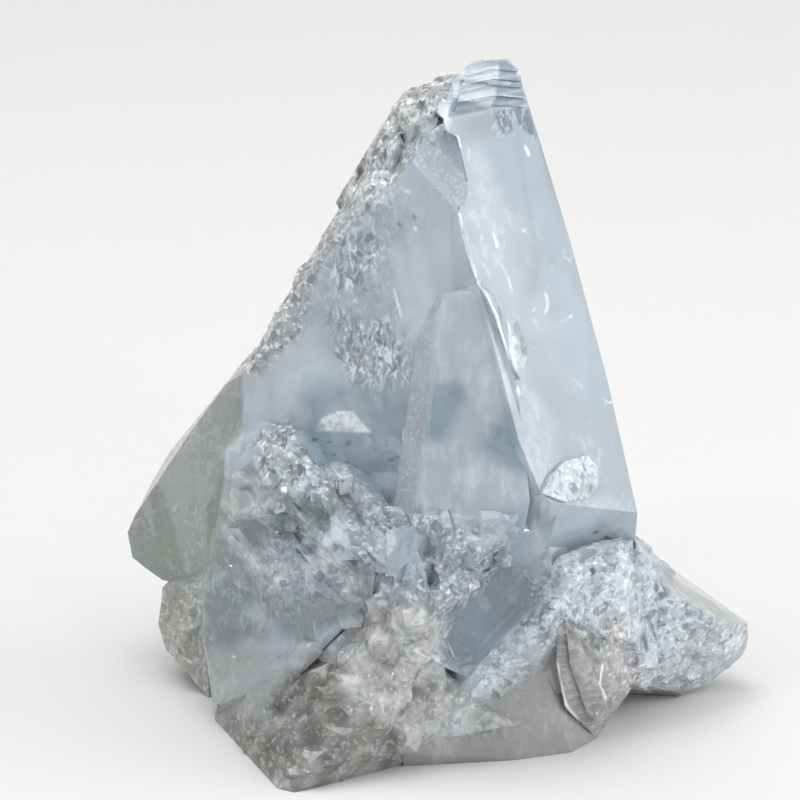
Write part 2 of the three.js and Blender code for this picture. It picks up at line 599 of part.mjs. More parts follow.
// The crystal that points out to the right, with its narrow pale top face.
const lobeTop = new Face(seen(20.6, -13.5, 16.6), seen(27.8, -17.7, 20.6), seen(22.4, -15.2, 15.4));
function rightLobe() {
  return [
    block(
      lobeTop.outline([[20.6, -13.5], [27.8, -17.8], [25.1, -17.3], [22.3, -15.8], [21, -14.6]]),
      seen(27.8, -19.4, 21.6), seen(27.3, -20.6, 21.4), seen(26.2, -21.4, 21),
      seen(24.7, -22.7, 20), seen(22.6, -23.5, 18.4), seen(21.1, -23.2, 17), seen(19, -22.7, 15.2),
      seen(18.7, -15.2, 13.4), seen(19.2, -19.2, 13.6), seen(23.4, -18.2, 16.8), foot(22.4, -23.7),
      foot(19.2, -23.4), at(24.5, 24.5, 6), at(20, 28, 10), at(18, 27, 0), at(14, 20, 0),
      at(14, 22, 14),
    ),
    // Chips where the lobe joins the cluster.
    block(
      seen(18.9, -11.4, 14), seen(19.5, -12.2, 14.4), seen(20.6, -13.6, 15.4),
      seen(21.8, -14.1, 15.8), seen(23.2, -16.5, 15.6), seen(21, -17, 14), seen(19, -15.7, 12.8),
      at(17, 20, 16), at(19, 20, 8),
    ),
    block(
      seen(19.2, -16.8, 13), seen(21.1, -17.6, 14), seen(22.1, -20.2, 15.2),
      seen(21.4, -22.7, 16.2), seen(19.7, -22.1, 14.8), seen(18.9, -19.2, 13), at(19, 20, 8),
      at(19, 20, 4),
    ),
  ];
}

// The greenish slab behind on the left, with a yellowish lump below it.
function backSlab() {
  return [
    block(
      seen(-12.6, 2.2, 22.6), seen(-13.9, 1.3, 23.2), seen(-14.6, 0, 23.6),
      seen(-16.5, -2.2, 24.2), seen(-17.7, -4.7, 24.6), seen(-19.5, -7.1, 25),
      seen(-21.2, -9.2, 25.4), seen(-21.8, -10.6, 25.6), seen(-21.4, -12.6, 25.8),
      seen(-20.4, -13.4, 25.4), seen(-19, -14.4, 24.4), seen(-15.7, -15.2, 22.6),
      at(-12, 29.5, 27), at(-19.5, 31, 17), at(-17, 31, 8), at(-10, 22, 8), at(-10, 22, 26),
      at(-8, 31.5, 8),
    ),
    block(
      seen(-19, -15, 23.8), seen(-19.3, -17.9, 23.4), seen(-18.7, -20, 22.8),
      seen(-17.3, -21.4, 21.2), seen(-15.5, -23, 19.4), seen(-15.5, -14.6, 21), foot(-15.3, -23.8),
      at(-12, 22, 2), at(-17, 28, 0), at(-10, 29, 0), at(-17, 29, 9), at(-12, 26, 14),
    ),
  ];
}

// The far side: crystals that lean outwards over a rough foot.
function farSide() {
  const foundation = block(
    at(-15.5, 21, 0), at(-15, 28.5, 0), at(-9, 31.5, 0), at(6, 32, 0), at(15, 29.5, 0),
    at(19, 22, 0), at(15, 14, 0), at(-13, 17, 0), at(-12, 29, 12), at(4, 30, 15), at(14, 27, 12),
    at(17, 20, 13), at(-12, 20, 14), at(0, 27, 24),
  );
  return [
    foundation,
    crystal({ root: at(8, 20, 6), tip: at(9.5, 29, 37), broad: 10.5, thin: 8, turn: 0.35 }),
    crystal({ root: at(-2, 20, 4), tip: at(-4.6, 32, 31), broad: 11, thin: 8, turn: -0.3 }),
    crystal({ root: at(13, 18, 3), tip: at(16.8, 28, 19), broad: 7, thin: 6.5, turn: 0.9 }),
    crystal({ root: at(3, 22, 2), tip: at(2.6, 33.6, 21), broad: 8, thin: 6, turn: 0.1 }),
    crystal({ root: at(-9, 22, 2), tip: at(-12, 32.6, 17), broad: 7.5, thin: 6.5, turn: 0.6 }),
    crystal({ root: at(10, 22, 0), tip: at(13, 32.6, 12), broad: 7, thin: 5.5, turn: -0.5 }),
    crystal({ root: at(-8, 20, 14), tip: at(-10.4, 30.2, 27), broad: 6, thin: 5, turn: -0.8 }),
    crystal({ root: at(5, 20, 14), tip: at(3.6, 31.6, 28), broad: 5.5, thin: 4.6, turn: 0.5 }),
  ];
}

// The crusts that cover the broken and overgrown parts.
function frontCrusts(land) {
  const left = at(-0.8, -0.5, 0.35);
  return [
    // Down the left edge of the twin crystal, outside and in.
    crust(land, {
      first: [
        seen(2.7, 25.6, 17.4), seen(0.3, 24.6, 18.6), seen(-1.8, 21.4, 18.6),
        seen(-4.2, 17.4, 18.8), seen(-5.1, 15.8, 18.6),
      ],
      second: [
        seen(3.3, 23, 15), seen(1.6, 21.4, 15.4), seen(0.3, 19.8, 14.8), seen(-1.1, 17, 14.6),
        seen(-3.8, 13.4, 15.2),
      ],
      outward: TO_EYE,
      cells: [12, 5], grain: 3, relief: 1, seed: 11,
    }),
    crust(land, {
      first: [
        seen(-4.6, 16, 18.8), seen(-7.6, 10.6, 19.4), seen(-9.6, 7.7, 19.8),
        seen(-11.2, 5, 19.8), seen(-12.3, 2.7, 19.6),
      ],
      second: [
        seen(-1.6, 16, 14.8), seen(-5.3, 11.4, 15.2), seen(-6.6, 8.3, 15.8), seen(-7.8, 4.6, 16),
        seen(-11, 2.4, 17),
      ],
      outward: left,
      cells: [15, 5], grain: 2.4, relief: 0.6, lean: 0.3, seed: 12,
    }),
    // The broken top of the left block.
    crust(land, {
      first: [
        seen(-13.6, -4.2, 17.4), seen(-11, -2.7, 14.8), seen(-8.3, -3.4, 13.2),
        seen(-4.8, -5.9, 11.6), seen(-0.8, -8.3, 9.8),
      ],
      second: [
        seen(-14.7, -9.9, 17), seen(-11.8, -10.4, 13.2), seen(-8.8, -10.9, 10.4),
        seen(-5, -12.5, 8.2), seen(-1, -14.1, 6.4),
      ],
      outward: TO_EYE,
      cells: [15, 8], grain: 3.4, relief: 1.3, seed: 21,
    }),
    // Frosted ridges lower on its face.
    crust(land, {
      first: [
        seen(-14.4, -9.1, 16.6), seen(-11.5, -9.6, 13.2), seen(-8.5, -10.1, 10.4),
        seen(-3.4, -12.8, 8),
      ],
      second: [
        seen(-14.2, -14.4, 15.6), seen(-11, -16.3, 12), seen(-7.7, -15.7, 9.4), seen(-2.7, -17, 7),
      ],
      outward: TO_EYE,
      cells: [11, 6], grain: 2.6, relief: 0.55, lean: 0.3, seed: 22,
    }),
    // The middle, from the prism's foot to the laths.
    crust(land, {
      first: [
        seen(-0.3, -9, 8.8), seen(3.2, -8.5, 7.4), seen(6.9, -8.5, 7.8), seen(10.2, -9.1, 8.2),
      ],
      second: [
        seen(-1.6, -18.9, 5.8), seen(1.4, -19.4, 4.8), seen(4.2, -17, 5.2), seen(9.2, -12.6, 7.4),
      ],
      outward: TO_EYE,
      cells: [13, 9], grain: 3.2, relief: 1, seed: 41,
    }),
    // From the dark window down to the lens and the slab.
    crust(land, {
      first: [
        seen(4.2, -20.8, 5), seen(6.2, -20.6, 5.8), seen(8.4, -18.6, 7), seen(10.6, -16.7, 7.6),
        seen(13, -17.6, 7.6),
      ],
      second: [
        seen(0.6, -25, 4.4), seen(4, -25.3, 4.8), seen(8, -24.3, 5.6), seen(12.2, -21.8, 7),
      ],
      outward: TO_EYE,
      cells: [12, 6], grain: 3, relief: 0.8, seed: 42,
    }),
    // The splintered silvery face.
    crust(land, {
      first: [
        seen(10.6, -15.4, 6.8), seen(12.8, -12.8, 7.8), seen(15.4, -11.9, 9),
        seen(18.2, -11.7, 11.4),
      ],
      second: [
        seen(10.7, -19.2, 6.4), seen(13.8, -19.4, 7.4), seen(16.3, -20, 9), seen(18.9, -20.5, 12),
      ],
      outward: at(0.2, -0.9, 0.4),
      cells: [13, 9], grain: 3, relief: 0.6, lean: 0.5, seed: 51,
    }),
    // The chips between that face and the lobe.
    crust(land, {
      first: [
        seen(17.7, -12.4, 11.6), seen(17.6, -16, 11.2), seen(17.4, -20, 11.4),
        seen(18.2, -22.7, 12.4),
      ],
      second: [
        seen(20.8, -13, 14.4), seen(21.3, -16.6, 14.4), seen(21.1, -19.8, 14.6),
        seen(20.8, -22.6, 15.2),
      ],
      outward: at(0.35, -0.85, 0.35),
      cells: [8, 4], grain: 2.6, relief: 0.9, lean: 0.5, seed: 52,
    }),
    // The lobe's uneven front.
    crust(land, {
      first: [
        seen(19.2, -13.8, 13.6), seen(21.1, -15.4, 14.6), seen(24.3, -17.5, 17.2),
        seen(27.4, -18.4, 20.4),
      ],
      second: [
        seen(19, -22.6, 15), seen(21.1, -23, 16.6), seen(24, -22.7, 19), seen(27, -20.4, 20.8),
      ],
      outward: TO_EYE,
      cells: [12, 8], grain: 3.4, relief: 0.55, lean: 0.3, seed: 61,
    }),
    // The grains' own crust over the rock foot.
    crust(land, {
      first: [
        seen(-12.5, -26.7, 9), seen(-9.1, -24, 7.2), seen(-5.9, -21.4, 6.4), seen(-2.2, -16.3, 7),
      ],
      second: [
        seen(-8.8, -30.6, 1.8), seen(-5.6, -29.6, 2.6), seen(-0.8, -28, 3.8), seen(1.9, -21.1, 5),
      ],
      outward: TO_EYE,
      cells: [13, 8], grain: 3.6, relief: 0.7, lean: 0.2, seed: 31,
    }),
    // The yellowish lump behind on the left.
    crust(land, {
      first: [
        seen(-18.9, -15.4, 23.2), seen(-19, -17.9, 22.8), seen(-18.4, -20, 22),
        seen(-15.7, -22.9, 19.6),
      ],
      second: [
        seen(-15.8, -15, 20.8), seen(-15.8, -17.6, 20.6), seen(-15.8, -20, 20.2),
        seen(-15.3, -23.4, 18.6),
      ],
      outward: at(-0.6, -0.75, 0.1),
      cells: [8, 3], grain: 2.4, relief: 0.8, seed: 71,
    }),
  ];
}

function farCrusts(land) {
  const back = at(0, 0.94, 0.34);
  return [
    crust(land, {
      first: [
        at(-15, 27.5, 13), at(-8, 30, 15), at(0, 31, 17), at(8, 30.5, 16), at(15.5, 27, 14),
      ],
      second: [
        at(-15.5, 28.8, -0.6), at(-8, 31.6, -0.6), at(0, 32.2, -0.6), at(8, 31.6, -0.6),
        at(16, 28.6, -0.6),
      ],
      outward: back,
      cells: [12, 6], grain: 3.2, relief: 1.3, seed: 81,
    }),
    crust(land, {
      first: [
        at(-13.5, 26, 21), at(-7, 28, 23), at(0, 29, 24), at(6, 29, 24), at(12, 27.5, 20),
      ],
      second: [
        at(-14.5, 28, 13.5), at(-7, 30, 15.5), at(0, 31, 17.5), at(6, 31, 17), at(15, 27.5, 14.5),
      ],
      outward: back,
      cells: [11, 4], grain: 3, relief: 0.9, seed: 82,
    }),
    // The outer flank of the twin crystal, seen only from the left.
    crust(land, {
      first: [
        seen(0.3, 24.8, 19.6), seen(-3.8, 18.1, 20), seen(-8, 10.2, 20.4), seen(-12, 3.8, 20.8),
      ],
      second: [at(-1.5, 26, 44.5), at(-4, 26.6, 38), at(-8, 27.4, 31), at(-11, 28, 25)],
      outward: at(-0.85, 0.3, 0.4),
      cells: [14, 4], grain: 2.6, relief: 0.4, lean: 0.2, seed: 83,
    }),
    // The right flank, from the lobe round to the far side.
    crust(land, {
      first: [at(18.5, 16, 14), at(19, 19.5, 15), at(18, 24, 15)],
      second: [at(20, 20, 8), at(22, 24, 8), at(20, 28, 8)],
      outward: at(0.85, 0.15, 0.5),
      cells: [7, 5], grain: 2.8, relief: 1, seed: 84,
    }),
  ];
}

// Small crystals that stand clear of the crusts.
function sprinkle(land, { first, second, outward, count, size, seed }) {
  const random = randomFrom(seed);
  const out = outward.clone().normalize();
  return Array.from({ length: count }, (_, i) => {
    const spot = along(first, (i + random()) / count).lerp(along(second, (i + random()) / count),
      random());
    return lump(STUB, land(spot, out), random(...size), random);
  });
}

function smallCrystals(land) {
  return [
    ...sprinkle(land, {
      first: [seen(-13.1, -4.2, 17.4), seen(-8.3, -3.7, 13.2), seen(-1.1, -8.8, 9.8)],
      second: [seen(-13.1, -8.8, 16), seen(-8.8, -10.8, 10.4), seen(-1.6, -12.8, 7.4)],
      outward: TO_EYE, count: 8, size: [1.3, 2], seed: 91,
    }),
    ...sprinkle(land, {
      first: [seen(0.3, -11.2, 7.4), seen(5.6, -10.2, 7), seen(9.3, -10.7, 7.6)],
      second: [seen(-0.3, -16.8, 6), seen(3.2, -16, 5.4), seen(8, -12.8, 6.8)],
      outward: TO_EYE, count: 5, size: [1.1, 1.7], seed: 93,
    }),
    ...sprinkle(land, {
      first: [at(-13, 28, 12), at(0, 31.5, 15), at(13, 29, 12)],
      second: [at(-13, 29, 4), at(0, 32, 4), at(13, 30, 4)],
      outward: at(0, 0.94, 0.34), count: 7, size: [1.7, 2.6], seed: 94,
    }),
  ];
}

function geometryOf(solid) {
  const mesh = solid.getMesh();
  const geometry = new THREE.BufferGeometry();
  geometry.setAttribute("position", new THREE.BufferAttribute(mesh.vertProperties, 3));
  geometry.setIndex(new THREE.BufferAttribute(mesh.triVerts, 1));
  return geometry;
}

function cluster() {
  const masses = wasm.Manifold.union([
    ...mainCrystal(), ...capSteps(), twinCrystal(), ...neck(), middlePrism(), ...leftBlock(),
    ...rockFoot(), ...baseSlab(), ...rightShoulder(), ...veinedWedge(), ...rightLobe(),
    ...backSlab(), ...farSide(), ...centreMass(),
  ]);
  const window = darkWindow();
  const opened = masses.subtract(window.before).add(window.behind).subtract(brokenHollow());
  const land = groundOf(opened);
  const whole = wasm.Manifold.union([opened, ...frontCrusts(land), ...farCrusts(land),
    ...smallCrystals(land)]);
  // The outer skin alone is kept, so that no bubble is closed in.
  const skins = whole.trimByPlane([0, 0, 1], 0).decompose();
  return skins.reduce((a, b) => (a.volume() > b.volume() ? a : b));
}

const geometry = geometryOf(cluster());
geometry.computeBoundingBox();
const box = geometry.boundingBox;
const middle = box.getCenter(at(0, 0, 0));

const celestite = new THREE.MeshStandardMaterial({ color: "#a9b8c4", roughness: 0.25, metalness: 0 });
const mesh = new THREE.Mesh(geometry, celestite);
mesh.name = "celestite_cluster";
mesh.position.set(-middle.x, -middle.y, -box.min.z);

const part = new THREE.Group();
part.add(mesh);
export default part;
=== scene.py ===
"""A cluster of pale blue celestite crystals on its broken, flat-cut foot.

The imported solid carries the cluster's form. Here its long edges are blunted,
its surface is divided finely, its broken parts are given their grain, and one
material is laid over it whose clarity, frost and tints follow the cluster.

Everything is in metres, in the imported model's frame. The parts and markings
of the front are outlined as they look from the camera, in millimetres to the
right of and above the point that it aims at. Their points were marked on the
photograph in pixels, and a helper script turned those into millimetres at
0.08 mm to a pixel and wrote them here.
"""

import math

import bmesh
import bpy
import numpy as np
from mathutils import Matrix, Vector

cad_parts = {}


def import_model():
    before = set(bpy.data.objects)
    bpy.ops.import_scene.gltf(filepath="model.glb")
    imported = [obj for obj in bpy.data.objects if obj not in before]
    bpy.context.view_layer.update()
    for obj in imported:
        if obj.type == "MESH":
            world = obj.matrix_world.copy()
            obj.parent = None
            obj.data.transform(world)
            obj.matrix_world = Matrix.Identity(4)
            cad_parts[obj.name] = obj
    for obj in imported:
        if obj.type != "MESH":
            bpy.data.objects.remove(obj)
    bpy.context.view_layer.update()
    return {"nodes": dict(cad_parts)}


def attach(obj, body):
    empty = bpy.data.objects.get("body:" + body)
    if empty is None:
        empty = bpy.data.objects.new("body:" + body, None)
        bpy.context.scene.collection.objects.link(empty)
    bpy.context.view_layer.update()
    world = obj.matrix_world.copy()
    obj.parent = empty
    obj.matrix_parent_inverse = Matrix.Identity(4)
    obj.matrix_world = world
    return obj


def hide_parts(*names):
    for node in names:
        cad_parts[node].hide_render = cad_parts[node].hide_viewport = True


NODE = "celestite_cluster"
MM = 0.001

# The camera: where it aims, how high it looks down from and how far away it is.
AIM = Vector((-3.0914, -2.2501, 27.6)) * MM
EYE_ELEVATION = math.radians(20)
EYE_DISTANCE = 360 * MM
HALF_VIEW = 32 * MM
SENSOR = 36.0

# Corners closer together than this are one corner, and flats that lean less
# than this to each other are one flat.
WELD = 0.0003 * MM
FLAT_ANGLE = math.radians(0.6)
# Flats this large are crystal faces, and flats this small belong to a crust.
FACE_AREA = 8.0
CRUST_AREA = 3.0
# Long edges between crystal faces are blunted by this much, unless shorter.
BLUNT_EDGE = 0.09 * MM
LEAST_BLUNTED = 10 * BLUNT_EDGE
SHARP_ANGLE = math.radians(24)
# The longest edge of the divided surface: on crusts in front and elsewhere, on
# crystal faces in front and elsewhere, and next to the fine markings.
FRONT_CRUST = 0.49 * MM
OTHER_CRUST = 0.75 * MM
FRONT_FACE = 0.95 * MM
OTHER_FACE = 2.4 * MM
MARKING = 0.18 * MM
MARKING_REACH = 0.25
DIVISIONS = 10
# A face in front leans towards the camera by more than this.
FACING = 0.02

# How many dark specks are scattered in the twin crystal, and their draw.
SPECKS = 22
SPECK_SEED = 41

# The grain of the broken parts: how wide and how high its facets are.
COARSE_GRAIN = (1.6 * MM, 0.30 * MM)
FINE_GRAIN = (0.75 * MM, 0.12 * MM)

# The crystal's optics.
IOR = 1.62
SUBSURFACE = 0.3
SUBSURFACE_RADIUS = (1.0, 1.2, 1.4)
SUBSURFACE_SCALE = 1.2 * MM
ABSORPTION = (0.30, 0.60, 0.80, 1)
ABSORPTION_DENSITY = 18.0
BOUNCES = 8

# The floor: its colour, its half width, where it starts and starts to rise,
# the radius of its sweep and the height of the wall.
FLOOR_COLOUR = (0.80, 0.785, 0.765, 1)
FLOOR_HALF = 0.9
FLOOR_FRONT = -0.6
FLOOR_BACK = 0.25
SWEEP = 0.15
WALL = 0.9
LIT_POINT = Vector((0, 0, 0.028))

# What a look holds beside its tint, and what of it only shapes the mesh.
LAYERS = ("clarity", "roughness", "frost", "flakes", "veil", "pebble", "lines", "grains", "grain")
MESH_ONLY = ("grains", "grain")
# What frost and painted glints tend to, and what dark marks and painted shade tend to.
WHITE = (0.88, 0.92, 0.95, 1)
DARK = (0.15, 0.18, 0.21, 1)


def look(
    tint,
    clarity=0.4,
    roughness=0.15,
    frost=0.0,
    flakes=0.0,
    veil=0.0,
    pebble=0.0,
    lines=0.0,
    grains=0.0,
    grain=0.0,
):
    """What a part looks like, as one row of numbers."""
    return np.array([*tint, clarity, roughness, frost, flakes, veil, pebble, lines, grains, grain])


# Smooth crystal.
CLEAR = look((0.67, 0.75, 0.82), clarity=0.45, roughness=0.07, frost=0.15)
SILVERY = look((0.44, 0.51, 0.57), clarity=0.32, roughness=0.20, frost=0.15)
SILK = look((0.50, 0.56, 0.61), clarity=0.22, roughness=0.26, frost=0.3)
SHADE = look((0.36, 0.45, 0.52), clarity=0.40, roughness=0.12, frost=0.05)
BLUE = look((0.45, 0.54, 0.61), clarity=0.40, roughness=0.12, frost=0.05)
DEEP = look((0.45, 0.58, 0.66), clarity=0.35, roughness=0.06)
WINDOW = look((0.41, 0.49, 0.55), clarity=0.30, roughness=0.12, frost=0.15, flakes=0.15)
BAND = look((0.59, 0.69, 0.77), clarity=0.40, roughness=0.12, frost=0.15, flakes=0.1)
HAZE = look((0.50, 0.60, 0.67), clarity=0.30, roughness=0.08)
# Milky crystal made brighter still: painted light over the shade in the crevice under the rim crust.
MILKY_AND_PAINTED_LIGHT = look((0.84, 0.87, 0.88), clarity=0.10, roughness=0.30, flakes=0.8)
PALE = look((0.68, 0.75, 0.80), clarity=0.25, roughness=0.10, frost=0.15)
MILKY = look((0.61, 0.67, 0.73), clarity=0.25, roughness=0.20, frost=0.30)
CAP = look((0.37, 0.46, 0.53), clarity=0.25, roughness=0.14, frost=0.10, lines=0.5)
CAP_LIGHT = look((0.56, 0.64, 0.70), clarity=0.15, roughness=0.14, frost=0.35, lines=0.5)
CAP_DARK = look((0.26, 0.34, 0.40), clarity=0.20, roughness=0.45, lines=0.4)
# Etched and veiled crystal.
ETCHED = look((0.22, 0.28, 0.34), clarity=0.10, roughness=0.55, veil=0.9)
MATT = look((0.48, 0.54, 0.59), clarity=0.20, roughness=0.35, frost=0.20, pebble=1.0)
VEILED = look((0.56, 0.63, 0.69), clarity=0.32, roughness=0.09, frost=0.10, veil=1.4, flakes=0.4)
GLITTER = look(
    (0.74, 0.75, 0.75), clarity=0.42, roughness=0.06, frost=0.25, flakes=1.3, veil=0.6, grain=0.6
)
NECK = look((0.46, 0.53, 0.60), clarity=0.30, roughness=0.15, frost=0.10, veil=1.1)
# Broken and sugary crystal.
CRUST = look((0.58, 0.62, 0.65), clarity=0.35, roughness=0.12, frost=0.35, flakes=0.8, grain=0.6)
RIM = look((0.89, 0.90, 0.88), clarity=0.45, roughness=0.07, frost=0.30, flakes=1.3, grain=0.5)
BLOCK = look(
    (0.44, 0.49, 0.51), clarity=0.42, roughness=0.10, frost=0.20, flakes=0.15, veil=0.5, grain=0.1
)
PLATE = look((0.60, 0.63, 0.64), clarity=0.25, roughness=0.18, frost=0.20, flakes=0.2, grain=0.1)
KNOBS = look((0.61, 0.65, 0.67), clarity=0.35, roughness=0.10, frost=0.30, flakes=1.3, grain=0.5)
DIM = look((0.40, 0.45, 0.46), clarity=0.40, roughness=0.10, frost=0.05, flakes=0.3, grain=0.2)
ROUGH = look((0.50, 0.55, 0.60), clarity=0.30, roughness=0.12, frost=0.30, flakes=0.9, grain=0.5)
SPLINTERED = look(
    (0.58, 0.66, 0.72), clarity=0.20, roughness=0.08, frost=0.45, flakes=1.0, lines=0.4, grain=0.6
)
FLAKE = look((0.56, 0.62, 0.66), clarity=0.15, roughness=0.16, frost=0.40, flakes=0.9, grain=0.2)
LIP = look((0.52, 0.54, 0.53), clarity=0.25, roughness=0.20, frost=0.20, flakes=0.2, grain=0.2)
LOBE = look((0.67, 0.73, 0.78), clarity=0.30, roughness=0.12, frost=0.30, flakes=0.9, grain=0.3)
LOBE_TOP = look((0.48, 0.49, 0.49), clarity=0.20, roughness=0.16, frost=0.25)
# The rock and what is stained.
ROCK = look(
    (0.25, 0.24, 0.21), clarity=0.25, roughness=0.20, frost=0.20, flakes=0.4, grains=1.0, grain=0.4
)
PALE_ROCK = look(
    (0.56, 0.55, 0.53), clarity=0.25, roughness=0.18, frost=0.30, flakes=0.5, grains=0.8, grain=0.4
)
SLAB = look((0.47, 0.47, 0.46), clarity=0.30, roughness=0.16, frost=0.10, flakes=0.10, grain=0.1)
LENS = look((0.58, 0.59, 0.58), clarity=0.30, roughness=0.15, frost=0.35, flakes=0.5, grain=0.3)
WEDGE = look(
    (0.50, 0.50, 0.48), clarity=0.35, roughness=0.12, frost=0.25, flakes=0.4, lines=0.3, grain=0.2
)
BROWN = look((0.22, 0.17, 0.12), clarity=0.05, roughness=0.50)
BROWNISH = look((0.55, 0.53, 0.53), clarity=0.25, roughness=0.20, frost=0.30, flakes=0.9, grain=0.6)
GREENISH = look(
    (0.49, 0.52, 0.47), clarity=0.38, roughness=0.14, frost=0.15, flakes=0.12, veil=0.4, grain=0.15
)
YELLOWISH = look(
    (0.52, 0.52, 0.45), clarity=0.25, roughness=0.22, frost=0.25, flakes=0.7, grains=0.4, grain=0.6
)
# Marks.
# White chips and crust lines, and the same white painted as small glints on the bright face.
CHIP_AND_GLINT = look((0.66, 0.71, 0.75), clarity=0.10, roughness=0.14, frost=0.60, flakes=0.6)
VEIN = look((0.66, 0.70, 0.72), clarity=0.20, roughness=0.14, frost=0.45, flakes=0.8)
GLINT = look((0.90, 0.93, 0.95), clarity=0.0, roughness=0.15, frost=1.0)
# A painted reflection: the light an inner cleavage plane reflects, painted onto the surface.
PAINTED_REFLECTION = look((0.82, 0.86, 0.87), clarity=0.0, roughness=0.12, frost=0.35, flakes=0.5, veil=0.5)
SPECK = look((0.05, 0.06, 0.07), clarity=0.0, roughness=0.4)
WORN = look((0.74, 0.79, 0.82), clarity=0.15, roughness=0.2, frost=0.4)

